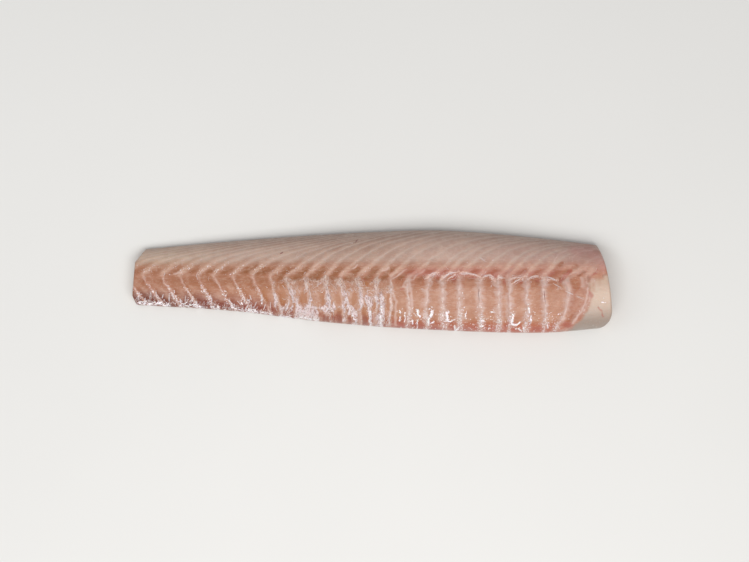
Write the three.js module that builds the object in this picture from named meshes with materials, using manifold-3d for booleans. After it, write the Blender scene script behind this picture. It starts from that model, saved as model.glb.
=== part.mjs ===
// Cod fillet: one skinless side of the fish, trimmed of its belly flap and cut square at both
// ends, lying on its skinned side with the bone side up.
//
// Millimetres. +X runs from the tail cut to the head cut, +Y from the trimmed belly edge to the
// rounded back, +Z up. The origin is under the middle of the fillet, on its flat underside.
//
// The flesh is a row of flakes. The sheet between two flakes, a septum, meets the top as a thin
// groove shaped like a "<": it has its tip on the seam, where the backbone was, and two arms that
// sweep towards the head. The slab below is built out of whole flakes, one strip of its mesh to
// each part of a flake, so every groove is a crisp edge. Two knife cuts then give it its ends.

import * as THREE from "three";
import { mergeVertices } from "three/addons/utils/BufferGeometryUtils.js";
import Module from "manifold-3d";

// Driving dimensions of the whole.
const LENGTH = 360;
const HALF = LENGTH / 2;

// Flakes. Real ones are uneven, so each width is measured along the seam, from the tail cut to
// the head cut. The last one shows no septum before the head cut, so it is given twice the width.
const FIRST_TIP = -173.2; // where the septum nearest the tail cut meets the seam
const FLAKE_WIDTHS = [
  14.6, 13.1, 14.2, 11, 14.7, 14.3, 12.8, 9.7, 17.5, 16.1, 9.5, 12.9, 15.9,
  9.9, 12.2, 15.8, 11.2, 12.1, 15, 14.3, 8.2, 12.8, 12.8, 12.8, 16.5, 27,
];
const MEAN_WIDTH = 13; // of the flakes beyond the two cuts, whose arms still reach the fillet
const FLAKES_BEFORE = 8;
const FLAKES_AFTER = 3;
const FLAKE_COLUMNS = [0, 0.14, 0.5, 0.86]; // mesh columns in a flake: groove, shoulder, crown, shoulder
const GROOVE_BELLY = 1.0; // depth below the crown on the belly side of the seam
const GROOVE_BACK = 0.45; // and on the back side

// Section.
const SEAM_Y = 4; // where the septa turn
const SEAM_TROUGH = 1.3; // dip that the backbone left
const SEAM_TROUGH_WIDTH = 5;
const POCKET_DEPTH = 0.9; // hollow in each flake, just behind the seam
const POCKET_REACH = 5;
const BELLY_CURVE = 9; // how wide the top rounds off at the trimmed edge
const BELLY_SHARPNESS = 2.6; // 2 is an ellipse, more is boxier
const BACK_CURVE = 20;
const BACK_SHARPNESS = 2.3;
const LIP = 2.2; // height of the widest line above the underside
const FOOT_INSET = 1.3; // the flesh tucks in by this much under that line
const CREST = 0.55; // where across the width the fillet is thickest, from belly edge to back
const BELLY_DROP = 0.34; // share of the thickness lost from the crest to the belly edge
const BACK_DROP = 0.24;

// A smooth function through a few named points, flat beyond the first and the last.
function through(points) {
  const slope = points.map((point, i) => {
    const a = points[Math.max(i - 1, 0)];
    const b = points[Math.min(i + 1, points.length - 1)];
    return (b[1] - a[1]) / (b[0] - a[0]);
  });
  return (x) => {
    if (x <= points[0][0]) return points[0][1];
    const last = points.length - 1;
    if (x >= points[last][0]) return points[last][1];
    const i = points.findIndex((p, k) => x < points[k + 1][0]);
    const [x0, y0] = points[i];
    const [x1, y1] = points[i + 1];
    const span = x1 - x0;
    const t = (x - x0) / span;
    const u = 1 - t;
    return (
      u * u * (1 + 2 * t) * y0 +
      t * t * (3 - 2 * t) * y1 +
      span * t * u * (u * slope[i] - t * slope[i + 1])
    );
  };
}

// Plan outline: the belly edge widens towards the head, and the back is one long arc.
const bellyEdge = through([
  [-HALF, -17.5],
  [-105, -22.2],
  [-37, -30.4],
  [30, -35.6],
  [126, -38.7],
  [HALF, -34.6],
]);
const BACK_PEAK = { x: 44, y: 38.7 };
function backEdge(x) {
  const [reach, fall] = x < BACK_PEAK.x ? [214, 14.3] : [126, 11.3];
  return BACK_PEAK.y - fall * Math.pow(Math.abs(x - BACK_PEAK.x) / reach, 1.5);
}

// Thickness at the crest, thin at the tail.
const thickness = through([
  [-HALF, 14],
  [-90, 20.5],
  [0, 27],
  [75, 30],
  [HALF, 26],
]);

// The belly arm of a septum leans towards the head all the way down near the tail. In the middle
// of the fillet it swings towards the head first and then runs square to the edge, and near the
// head cut it hooks back.
const bellyLean = through([
  [-172, 0.7],
  [-157, 0.54],
  [-91, 0.42],
  [-54, -0.05],
  [-41, -0.12],
  [10, -0.12],
  [41, 0],
]);
const bellyBend = through([
  [-172, 2.6],
  [-157, 3],
  [-146, 2.7],
  [-133, 0.5],
  [-120, 5.5],
  [-106, 3.3],
  [-91, 4.4],
  [-78, 4],
  [-69, 11.4],
  [-51, 8.3],
  [-35, 5.4],
  [-26, 9.7],
  [-13, 10.6],
  [3, 4.3],
  [13, 4.8],
  [25, 4.8],
  [41, 0],
  [64, 2.5],
  [127, 3],
  [140, 12],
  [157, 10],
]);
const BEND_REACH = 14;
const headHook = through([
  [127, 0],
  [140, 7.5],
  [157, 11],
]);
const HOOK_REACH = 30;

// The back arm of most flakes first steps towards the head, then leans that way. Near the tail
// it curls more and more, and all arms flatten out along the back edge.
const backStep = through([
  [-100, 0],
  [-80, 2],
  [-69, 7.5],
  [-51, 2],
  [-35, -0.5],
  [-26, 2.3],
  [-13, 3.1],
  [3, -0.8],
  [13, 1.4],
  [25, 5.8],
  [41, 5.4],
  [52, 2.5],
  [66, 0.5],
  [100, 0.5],
  [127, 0.5],
  [140, 11],
  [157, 3],
]);
const STEP_REACH = 2.5;
const backLean = through([
  [-175, 0.6],
  [-110, 0.62],
  [-85, 0.8],
  [-66, 1],
  [60, 1],
  [100, 0.95],
  [170, 0.9],
]);
const backCurl = through([
  [-175, 0.066],
  [-110, 0.062],
  [-85, 0.04],
  [-66, 0.012],
  [20, 0.004],
  [170, 0],
]);
const BACK_SWEEP = 40;
const SWEEP_SHARPNESS = 5;
const TIP_ROUNDING = 2.6; // the two arms meet in a small round bend

// How far towards the head a septum has come where it passes x, y.
function septumShift(tip, x, y) {
  const rise = y - SEAM_Y;
  const bend = Math.hypot(rise, TIP_ROUNDING);
  const up = (bend + rise) / 2;
  const down = (bend - rise) / 2;
  const share = Math.min(up / (backEdge(x) - SEAM_Y), 1.2);
  const step = backStep(tip) * (1 - Math.exp(-up / STEP_REACH));
  const back = step + up * backLean(tip) + up ** 2 * backCurl(tip) + BACK_SWEEP * share ** SWEEP_SHARPNESS;
  const bent = bellyBend(tip) * (1 - Math.exp(-down / BEND_REACH));
  return back + bent + down * bellyLean(tip) - headHook(tip) * (down / HOOK_REACH) ** 2;
}

// Where each septum meets the seam.
const tips = [FIRST_TIP - FLAKES_BEFORE * MEAN_WIDTH];
const beyond = (count) => Array(count).fill(MEAN_WIDTH);
for (const width of [...beyond(FLAKES_BEFORE), ...FLAKE_WIDTHS, ...beyond(FLAKES_AFTER)]) {
  tips.push(tips.at(-1) + width);
}

// 0 at an edge rising to 1 at its reach, as a superellipse.
function roundOff(distance, reach, sharpness) {
  const left = 1 - Math.min(Math.max(distance / reach, 0), 1);
  return Math.pow(1 - Math.pow(left, sharpness), 1 / sharpness);
}

function bump(distance, width) {
  return Math.exp(-((distance / width) ** 2));
}

// Height of the top surface. part is the place in a flake, 0 at its septum.
function topHeight(x, y, part) {
  const low = bellyEdge(x);
  const high = backEdge(x);
  const across = (y - low) / (high - low);
  const fall =
    across < CREST
      ? BELLY_DROP * ((CREST - across) / CREST) ** 2
      : BACK_DROP * ((across - CREST) / (1 - CREST)) ** 2;
  const rounded =
    roundOff(y - low, BELLY_CURVE, BELLY_SHARPNESS) * roundOff(high - y, BACK_CURVE, BACK_SHARPNESS);
  const smooth = LIP + (thickness(x) * (1 - fall) - LIP) * rounded;

  const rise = y - SEAM_Y;
  const groove = 1 - Math.pow(Math.abs(Math.sin(Math.PI * part)), 0.7);
  const grooveDepth = rise < 0 ? GROOVE_BELLY : GROOVE_BACK;
  const pocket = POCKET_DEPTH * Math.sin(Math.PI * part) ** 2 * bump(rise - POCKET_REACH, POCKET_REACH / 2);
  const trough = SEAM_TROUGH * bump(rise, SEAM_TROUGH_WIDTH);
  return smooth - rounded * (groove * grooveDepth + pocket + trough);
}

// Places across the top, crowded where it rounds off, which are given in mm from each edge.
const nearBelly = [0, 0.25, 0.9, 2, 4, 7];
const nearBack = [14, 9.5, 6, 3.4, 1.5, 0.5, 0];
const SEAM_SHARE = 0.53; // the row of points along the seam, from belly edge to back
const BELLY_ROWS = 6;
const BACK_ROWS = 5;

function topPlaces(x) {
  const low = bellyEdge(x);
  const high = backEdge(x);
  const places = nearBelly.map((d) => low + d);
  const start = low + nearBelly.at(-1);
  const end = high - nearBack[0];
  const seam = THREE.MathUtils.lerp(low, high, SEAM_SHARE);
  for (let i = 1; i <= BELLY_ROWS; i++) places.push(THREE.MathUtils.lerp(start, seam, i / BELLY_ROWS));
  for (let i = 1; i < BACK_ROWS; i++) places.push(THREE.MathUtils.lerp(seam, end, i / BACK_ROWS));
  nearBack.forEach((d) => places.push(high - d));
  return places;
}

const FOOT_SHARES = [1, 0.75, 0.5, 0.25, 0]; // places across the underside, from the back
const SETTLING_ROUNDS = 12;

// One closed ring of points along a septum, or along a line inside a flake.
function ring(tip, part) {
  const points = [];
  const count = topPlaces(0).length;
  for (let j = 0; j < count; j++) {
    // The place along and the place across depend on each other, so a few rounds settle both.
    let x = tip;
    let y = 0;
    for (let round = 0; round < SETTLING_ROUNDS; round++) {
      y = topPlaces(x)[j];
      x = tip + septumShift(tip, x, y);
    }
    points.push([x, y, topHeight(x, y, part)]);
  }
  const [bellyX, bellyY] = points[0];
  const [backX, backY] = points[count - 1];
  for (const share of FOOT_SHARES) {
    const y = THREE.MathUtils.lerp(bellyY + FOOT_INSET, backY - FOOT_INSET, share);
    const x = y > SEAM_Y
      ? THREE.MathUtils.mapLinear(y, SEAM_Y, backY, tip, backX)
      : THREE.MathUtils.mapLinear(y, bellyY, SEAM_Y, bellyX, tip);
    points.push([x, y, 0]);
  }
  return points;
}

// The uncut row of flakes, as a closed mesh.
function flakeSlab() {
  const rings = [];
  for (let n = 0; n + 1 < tips.length; n++) {
    for (const part of FLAKE_COLUMNS) {
      rings.push(ring(THREE.MathUtils.lerp(tips[n], tips[n + 1], part), part));
    }
  }
  const around = rings[0].length;
  const positions = rings.flat(2);
  const index = [];
  for (let i = 0; i + 1 < rings.length; i++) {
    for (let j = 0; j < around; j++) {
      const a = i * around + j;
      const b = i * around + ((j + 1) % around);
      index.push(a, a + around, b + around, a, b + around, b);
    }
  }
  const foot = around - 3; // the middle of the underside, from which each end is filled
  const lastRing = (rings.length - 1) * around;
  for (let k = 1; k < around - 1; k++) {
    const a = (foot + k) % around;
    const b = (foot + k + 1) % around;
    index.push(foot, a, b);
    index.push(lastRing + foot, lastRing + b, lastRing + a);
  }
  const geometry = new THREE.BufferGeometry();
  geometry.setAttribute("position", new THREE.Float32BufferAttribute(positions, 3));
  geometry.setIndex(index);
  return geometry;
}

// What the two knife cuts leave: straight at the tail with its back corner taken off and a short
// bevel at its belly corner, and a long soft curve at the head.
const BELOW_UNDERSIDE = 10; // the cuts go right through
function betweenCuts() {
  const outside = 60;
  const plan = new THREE.Shape();
  plan.moveTo(-170.2, outside);
  plan.lineTo(-170.2, 24.4);
  plan.lineTo(-177.8, 14.7);
  plan.lineTo(-HALF, -10.2);
  plan.lineTo(-179.6, -11.8);
  plan.lineTo(-177.4, -16.6);
  plan.lineTo(-176.4, -18.6);
  plan.lineTo(-176.4, -outside);
  plan.lineTo(171.5, -outside);
  plan.lineTo(171.5, -35.4);
  plan.quadraticCurveTo(HALF, -32, HALF, -22);
  plan.quadraticCurveTo(177.5, 12, 169.5, 27.4);
  plan.lineTo(169.5, outside);
  const cutter = new THREE.ExtrudeGeometry(plan, { depth: outside, bevelEnabled: false, curveSegments: 7 });
  return cutter.translate(0, 0, -BELOW_UNDERSIDE);
}

const wasm = await Module();
wasm.setup();

function toSolid(geometry) {
  const bare = geometry.clone();
  bare.deleteAttribute("normal");
  bare.deleteAttribute("uv");
  const merged = mergeVertices(bare, 1e-4);
  return new wasm.Manifold(
    new wasm.Mesh({
      numProp: 3,
      vertProperties: merged.attributes.position.array,
      triVerts: new Uint32Array(merged.index.array),
    }),
  );
}

function toGeometry(solid) {
  const mesh = solid.getMesh();
  const geometry = new THREE.BufferGeometry();
  geometry.setAttribute("position", new THREE.BufferAttribute(mesh.vertProperties, 3));
  geometry.setIndex(new THREE.BufferAttribute(mesh.triVerts, 1));
  geometry.computeVertexNormals();
  return geometry;
}

// The origin goes under the middle of the plan.
function centred(geometry) {
  geometry.computeBoundingBox();
  const middle = geometry.boundingBox.getCenter(new THREE.Vector3());
  return geometry.translate(-middle.x, -middle.y, -geometry.boundingBox.min.z);
}

const flesh = new THREE.MeshStandardMaterial({ color: 0xc9977f, roughness: 0.35, metalness: 0 });
const fillet = new THREE.Mesh(centred(toGeometry(toSolid(flakeSlab()).intersect(toSolid(betweenCuts())))), flesh);
fillet.name = "cod_fillet";

const root = new THREE.Group();
root.add(fillet);

export default root;
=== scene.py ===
# %% [markdown]
# # A raw cod fillet
#
# The piece is one skinless side of a cod, trimmed of its belly flap and cut square at both ends.
# It lies on its skinned side, so the camera looks down on the bone side, where the flakes show as
# a row of "<" shapes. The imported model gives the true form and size. This lesson dresses it: a
# dense mesh with every flake, groove and torn film as relief, fine threads of connective tissue
# on top, and wet, slightly see-through materials.

import math

import bmesh
import bpy
import numpy as np
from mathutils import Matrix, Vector


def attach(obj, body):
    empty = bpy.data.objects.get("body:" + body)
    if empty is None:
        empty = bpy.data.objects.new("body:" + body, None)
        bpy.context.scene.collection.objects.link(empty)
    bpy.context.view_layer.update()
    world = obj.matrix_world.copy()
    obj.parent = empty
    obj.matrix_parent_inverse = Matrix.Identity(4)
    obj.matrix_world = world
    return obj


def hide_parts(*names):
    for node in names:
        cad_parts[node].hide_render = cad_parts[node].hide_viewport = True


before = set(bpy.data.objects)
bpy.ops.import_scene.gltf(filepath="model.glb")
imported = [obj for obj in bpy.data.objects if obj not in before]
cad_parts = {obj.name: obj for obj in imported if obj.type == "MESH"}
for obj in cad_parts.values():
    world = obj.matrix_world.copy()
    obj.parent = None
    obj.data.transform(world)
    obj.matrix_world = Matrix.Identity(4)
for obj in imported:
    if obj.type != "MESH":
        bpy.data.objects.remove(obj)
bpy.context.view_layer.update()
print("frame nodes:", sorted(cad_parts))

# %% [markdown]
# ## The form in plan and in section
#
# A fish fillet could be sculpted, or grown from a box with a subdivision surface. Here it is
# lofted from functions, because the flakes, the colours and the relief all need to know where
# they are: how far along the fish, how far from the seam where the backbone lay, and in which
# flake. The same few sizes as in the solid give the outline and the thickness, in millimetres.

# %% Driving sizes of the form
MM = 0.001
HALF = 180.0  # half the length
SEAM_Y = 4.0  # the septa turn here
SEAM_TROUGH = 1.3
SEAM_TROUGH_WIDTH = 5.0
POCKET_DEPTH = 0.9
POCKET_REACH = 5.0
GROOVE_BELLY = 1.0
GROOVE_BACK = 0.45
BELLY_CURVE = 9.0  # how wide the top rounds off at the trimmed edge
BELLY_SHARPNESS = 2.6
BACK_CURVE = 20.0
BACK_SHARPNESS = 2.3
LIP = 2.2  # height of the widest line
FOOT_INSET = 1.3
CREST = 0.55
BELLY_DROP = 0.34
BACK_DROP = 0.24


def through(points):
    """A smooth function through a few points, flat beyond the first and the last."""
    xs, ys = np.array(points, float).T
    before = np.maximum(np.arange(len(xs)) - 1, 0)
    after = np.minimum(np.arange(len(xs)) + 1, len(xs) - 1)
    slope = (ys[after] - ys[before]) / (xs[after] - xs[before])

    def value(x):
        x = np.clip(x, xs[0], xs[-1])
        i = np.clip(np.searchsorted(xs, x, side="right") - 1, 0, len(xs) - 2)
        span = xs[i + 1] - xs[i]
        t = (x - xs[i]) / span
        u = 1 - t
        ends = u * u * (1 + 2 * t) * ys[i] + t * t * (3 - 2 * t) * ys[i + 1]
        return ends + span * t * u * (u * slope[i] - t * slope[i + 1])

    return value


belly_edge = through([
    (-HALF, -17.5), (-105, -22.2), (-37, -30.4), (30, -35.6), (126, -38.7), (HALF, -34.6),
])
thickness = through([(-HALF, 14), (-90, 20.5), (0, 27), (75, 30), (HALF, 26)])


WIDEST_X = 44
BACK_Y = 38.7
TAIL_FALL, TAIL_RUN = 14.3, 214  # how far the back has come in, and over what length
HEAD_FALL, HEAD_RUN = 11.3, 126
ARC_SHARPNESS = 1.5


def back_edge(x):
    """The back is one long arc, steeper towards the head."""
    away = np.abs(x - WIDEST_X)
    towards_tail = TAIL_FALL * (away / TAIL_RUN) ** ARC_SHARPNESS
    towards_head = HEAD_FALL * (away / HEAD_RUN) ** ARC_SHARPNESS
    return BACK_Y - np.where(x < WIDEST_X, towards_tail, towards_head)


print("width at the middle in mm:", round(float(back_edge(0.0) - belly_edge(0.0)), 1))

# %% [markdown]
# ## Where the flakes lie
#
# A cod's side is a row of thin cones of muscle packed into each other. The sheet between two of
# them, a septum, meets the surface as a line with its tip on the seam and two arms that sweep
# towards the head. Each line is drawn by its tip. To learn which flake a point is in, the place
# of its line on the seam is found by halving an interval, as the lines never cross.

# %% Septa
FIRST_TIP = -173.2
FLAKE_WIDTHS = [
    14.6, 13.1, 14.2, 11, 14.7, 14.3, 12.8, 9.7, 17.5, 16.1, 9.5, 12.9, 15.9,
    9.9, 12.2, 15.8, 11.2, 12.1, 15, 14.3, 8.2, 12.8, 12.8, 12.8, 16.5, 27,
]
MEAN_WIDTH = 13
BEYOND = 9  # flakes past each cut, whose arms still reach the fillet
widths = [MEAN_WIDTH] * BEYOND + FLAKE_WIDTHS + [MEAN_WIDTH] * BEYOND
tips = FIRST_TIP - BEYOND * MEAN_WIDTH + np.concatenate([[0], np.cumsum(widths)])
flake_numbers = np.arange(len(tips)) - BEYOND  # septum 0 is the first one past the tail cut

# How the arms run, by the place of the tip along the fish. Belly arm: slope, the bend near the
# seam in mm, and the hook near the head cut in mm. Back arm: the step at the seam in mm, slope
# and curl.
belly_lean = through([
    (-172, 0.7), (-157, 0.54), (-91, 0.42), (-54, -0.05), (-41, -0.12), (10, -0.12), (41, 0),
])
belly_bend = through([
    (-172, 2.6), (-157, 3), (-146, 2.7), (-133, 0.5), (-120, 5.5), (-106, 3.3), (-91, 4.4), (-78, 4),
    (-69, 11.4), (-51, 8.3), (-35, 5.4), (-26, 9.7), (-13, 10.6), (3, 4.3), (13, 4.8), (25, 4.8),
    (41, 0), (64, 2.5), (127, 3), (140, 12), (157, 10),
])
head_hook = through([(127, 0), (140, 7.5), (157, 11)])
BEND_REACH = 14
HOOK_REACH = 30
back_step = through([
    (-100, 0), (-80, 2), (-69, 7.5), (-51, 2), (-35, -0.5), (-26, 2.3), (-13, 3.1), (3, -0.8), (13, 1.4),
    (25, 5.8), (41, 5.4), (52, 2.5), (66, 0.5), (100, 0.5), (127, 0.5), (140, 11), (157, 3),
])
back_lean = through([(-175, 0.6), (-110, 0.62), (-85, 0.8), (-66, 1), (60, 1), (100, 0.95), (170, 0.9)])
back_curl = through([(-175, 0.066), (-110, 0.062), (-85, 0.04), (-66, 0.012), (20, 0.004), (170, 0)])
STEP_REACH = 2.5
BACK_SWEEP = 40
SWEEP_SHARPNESS = 5
TIP_ROUNDING = 2.6  # the two arms meet in a small round bend
PAST_BACK = 1.2  # how far over the back edge the sweep goes on, as a share
SEARCH_BACK, SEARCH_AHEAD = 140.0, 60.0  # mm along the seam in which a tip is looked for
HALVINGS = 26


def septum_shift(tip, x, y):
    """How far towards the head a septum has come where it passes x, y."""
    rise = y - SEAM_Y
    bend = np.sqrt(rise**2 + TIP_ROUNDING**2)
    up = (bend + rise) / 2
    down = (bend - rise) / 2
    share = np.clip(up / (back_edge(x) - SEAM_Y), 0, PAST_BACK)
    back = back_step(tip) * (1 - np.exp(-up / STEP_REACH)) + up * back_lean(tip) + up**2 * back_curl(tip)
    sweep = BACK_SWEEP * share**SWEEP_SHARPNESS
    bent = belly_bend(tip) * (1 - np.exp(-down / BEND_REACH))
    belly = bent + down * belly_lean(tip) - head_hook(tip) * (down / HOOK_REACH) ** 2
    return back + sweep + belly


def tip_of(x, y):
    """Where on the seam the septum through x, y has its tip."""
    low = x - SEARCH_BACK
    high = x + SEARCH_AHEAD
    for _ in range(HALVINGS):
        middle = (low + high) / 2
        too_far = middle + septum_shift(middle, x, y) > x
        low = np.where(too_far, low, middle)
        high = np.where(too_far, middle, high)
    return (low + high) / 2


def flake_of(x, y):
    """Number of the flake at x, y, with the share of the way through it as decimals."""
    return np.interp(tip_of(x, y), tips, flake_numbers)


print("septa that meet the seam on the fillet:", int(np.sum(np.abs(tips) < HALF)))

# %% [markdown]
# ## Unevenness
#
# Nothing in flesh is regular, so a soft seeded noise bends the septa, varies the height of the
# flakes and roughens the torn films. It is a small table of random values, smoothly joined.

# %% Soft noise
NOISE_SIZE = 256
noise_tables = {}


def soft_noise(a, b, seed):
    """Smooth random values from -1 to 1, with one bump for each unit of a and b."""
    if seed not in noise_tables:
        noise_tables[seed] = np.random.default_rng(seed).uniform(-1, 1, (NOISE_SIZE, NOISE_SIZE))
    table = noise_tables[seed]
    i = np.floor(a).astype(int)
    j = np.floor(b).astype(int)
    u = a - i
    v = b - j
    u = u * u * (3 - 2 * u)
    v = v * v * (3 - 2 * v)
    i0 = i % NOISE_SIZE
    i1 = (i + 1) % NOISE_SIZE
    j0 = j % NOISE_SIZE
    j1 = (j + 1) % NOISE_SIZE
    near = table[i0, j0] * (1 - u) + table[i1, j0] * u
    far = table[i0, j1] * (1 - u) + table[i1, j1] * u
    return near * (1 - v) + far * v


def layered_noise(a, b, seed, layers=3):
    """Soft noise with ever finer layers on top."""
    total = sum(soft_noise(a * 2**k, b * 2**k, seed + k) / 2**k for k in range(layers))
    return total / (2 - 0.5 ** (layers - 1))


def smooth_step(low, high, x):
    """Goes smoothly from 0 at low to 1 at high."""
    t = np.clip((x - low) / (high - low), 0, 1)
    return t * t * (3 - 2 * t)


def bump(distance, width):
    """1 at distance 0, falling off softly."""
    return np.exp(-((distance / width) ** 2))


try_x = np.array([0.3, 5.5, 9.1])
try_y = np.array([2.0, 7.7, 3.2])
print("noise at three places:", np.round(layered_noise(try_x, try_y, 1), 2))

# %% [markdown]
# ## The height of the bone side
#
# The top is a rounded slab. Along the seam runs the trough that the backbone left, every septum
# is a fine groove, and each flake has a hollow just behind the seam. The belly edge, where the
# knife trimmed it, turns down fast, and the back rolls off slowly.

# %% Height function
def round_off(distance, reach, sharpness):
    """Rises from 0 at an edge to 1 at reach from it."""
    left = 1 - np.clip(distance / reach, 0, 1)
    return (1 - left**sharpness) ** (1 / sharpness)


def roundness(x, y):
    """How much of the full height is left by the rounding at both edges."""
    belly = round_off(y - belly_edge(x), BELLY_CURVE, BELLY_SHARPNESS)
    return belly * round_off(back_edge(x) - y, BACK_CURVE, BACK_SHARPNESS)


def slab_height(x, y):
    """Height in mm of the smooth form, without any relief."""
    low = belly_edge(x)
    across = (y - low) / (back_edge(x) - low)
    to_belly = BELLY_DROP * np.maximum((CREST - across) / CREST, 0) ** 2
    to_back = BACK_DROP * np.maximum((across - CREST) / (1 - CREST), 0) ** 2
    return LIP + (thickness(x) * (1 - to_belly - to_back) - LIP) * roundness(x, y)


def relief(x, y, flake):
    """How far the flakes lie below the slab, in mm."""
    rise = y - SEAM_Y
    part = flake - np.floor(flake)
    swell = np.abs(np.sin(np.pi * part))
    depth = GROOVE_BACK + (GROOVE_BELLY - GROOVE_BACK) * smooth_step(3, -3, rise)
    pocket = POCKET_DEPTH * swell**2 * bump(rise - POCKET_REACH, POCKET_REACH / 2)
    trough = SEAM_TROUGH * bump(rise, SEAM_TROUGH_WIDTH)
    return (1 - swell**0.7) * depth + pocket + trough


print("height over the seam at the middle in mm:", round(float(slab_height(0.0, SEAM_Y)), 1))

# %% [markdown]
# ## The two knife cuts
#
# The tail cut is straight with its back corner taken off, and the head cut is a long soft curve.
# Both are drawn in plan, and every row of the mesh runs from one to the other.

# %% Cuts
def quadratic(start, pull, end, steps=10):
    """Points on a curve from start to end that bends towards pull."""
    t = np.linspace(0, 1, steps)[:, None]
    start, pull, end = (np.array(p, float) for p in (start, pull, end))
    return [tuple(p) for p in (1 - t) ** 2 * start + 2 * t * (1 - t) * pull + t**2 * end]


FAR = 60.0  # past both edges
tail_plan = [(-176.4, -FAR), (-176.4, -18.6), (-177.4, -16.6), (-179.6, -11.8), (-HALF, -10.2)]
tail_plan += [(-177.8, 14.7), (-170.2, 24.4), (-170.2, FAR)]
head_plan = [(171.5, -FAR)] + quadratic((171.5, -35.4), (HALF, -32), (HALF, -22))
head_plan += quadratic((HALF, -22), (177.5, 12), (169.5, 27.4))[1:] + [(169.5, FAR)]


def cut_line(plan):
    """The place of a cut along the fish, as a function of y."""
    xs, ys = np.array(plan).T
    return lambda y: np.interp(y, ys, xs)


tail_cut = cut_line(tail_plan)
head_cut = cut_line(head_plan)
print("length along the seam in mm:", round(float(head_cut(SEAM_Y) - tail_cut(SEAM_Y)), 1))

# %% [markdown]
# ## Where the marks lie
#
# Torn film, white flecks that are painted glints, blood and pale fat have no rule of their own, so they are
# drawn as soft strokes: half a width, then the points of the line, read off the picture in its pixels. A
# field is the strongest stroke at a place. The material later turns a soft field into a ragged edge with
# fine noise.

# %% Strokes
FILLET_WIDTH = 479  # pixels from cut to cut
MM_PER_PIXEL = 2 * HALF / FILLET_WIDTH
MIDDLE_PIXEL = (371.5, 281.5)
STROKE_FADE = 2.4  # half widths, beyond which a stroke is nothing


def on_fillet(path):
    """Picture pixels as mm in plan."""
    pixels = np.array(path, float).reshape(-1, 2)
    return (pixels - MIDDLE_PIXEL) * (MM_PER_PIXEL, -MM_PER_PIXEL)


FINE_PUSH, COARSE_PUSH = 2.1, 5.3  # mm from one push to the next
PUSH = 0.6


def wandering(x, y, reach):
    """Places pushed about by up to reach mm, which makes what is drawn with them irregular."""
    def push(fine_seed, coarse_seed):
        fine = soft_noise(x / FINE_PUSH, y / FINE_PUSH, fine_seed)
        return PUSH * (fine + soft_noise(x / COARSE_PUSH, y / COARSE_PUSH, coarse_seed))

    return x + reach * push(53, 59), y + reach * push(61, 67)


def strokes(x, y, drawn):
    """The strongest of some soft strokes, each (half width, x, y, x, y, ...) in picture pixels."""
    strongest = np.zeros_like(x)
    for half, *path in drawn:
        points_on_line = on_fillet(path if len(path) > 2 else path * 2)
        reach = half * MM_PER_PIXEL
        low = points_on_line.min(0) - STROKE_FADE * reach
        high = points_on_line.max(0) + STROKE_FADE * reach
        near = np.nonzero((x > low[0]) & (x < high[0]) & (y > low[1]) & (y < high[1]))
        if not len(near[0]):
            continue
        u, v = x[near], y[near]
        for start, end in zip(points_on_line, points_on_line[1:]):
            step = end - start
            run = (u - start[0]) * step[0] + (v - start[1]) * step[1]
            share = np.clip(run / max(step @ step, 1e-9), 0, 1)
            away = np.hypot(u - start[0] - share * step[0], v - start[1] - share * step[1])
            strongest[near] = np.maximum(strongest[near], np.exp(-((away / reach) ** 2)))
    return strongest


# Whole white film: fingers that run to the edge, the fan and the solid patch beside it.
FINGERS = [
    (2.2, 286, 283, 290, 290, 293, 297, 294, 303, 291, 312, 290, 317), (1.5, 287, 301, 284, 308, 281, 316),
    (1.6, 289, 303, 286, 311, 285, 317), (5, 299, 309, 299, 316), (6.5, 308, 308, 308, 316),
    (4, 303, 312, 303, 317), (5, 315, 309, 315, 316), (2.6, 296, 317, 318, 320),
    (1.6, 305, 283, 309, 292, 311, 299), (2.4, 326, 280, 328, 290, 330, 298, 329, 306),
    (1.4, 329, 306, 329.5, 315, 330, 322), (3, 321, 308, 327, 303), (3.2, 335, 303, 333, 311),
    (2, 344, 286, 347, 297, 348, 305, 350, 313), (3.4, 351, 307, 356, 315), (2.2, 357, 318, 353, 324),
    (1.6, 361, 293, 362, 300, 361, 306, 359, 312, 357, 320, 355, 325), (5, 368, 298, 370, 304),
    (2.9, 369, 309, 371, 317, 370, 326), (3.2, 381, 293, 382, 303), (4.6, 382, 304, 382, 312, 380, 325),
    (1, 390.5, 305, 390, 325), (2, 274, 293, 277, 301, 276, 306), (1.2, 372, 288, 385, 291),
    (1.4, 276, 284, 272, 279),
]
# Windows torn in the film: first the amber ones, then the red ones near the edge.
WINDOWS = [
    (3.6, 283, 287, 283, 302), (3, 266, 289, 266, 302), (3.6, 304, 294, 304, 300),
    (2.6, 323, 293, 323, 303), (3.6, 338, 297, 338, 302), (2.8, 355, 294, 354, 303), (2.6, 366, 284),
    (2, 388, 296, 388, 309), (2.6, 285, 313), (1.5, 292, 312, 292, 318), (1.2, 294, 304, 294, 308),
    (1.4, 307, 320), (3.6, 325, 317, 326, 321), (1.4, 334, 318, 334, 321), (2.8, 340, 312, 340, 321),
    (1.6, 350, 318, 350, 323), (2.8, 363.5, 309, 364.5, 323), (2, 360, 312, 358.5, 322),
    (1.6, 374.5, 303, 374, 322), (1.7, 384, 325), (1.3, 386.5, 321),
]
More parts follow.
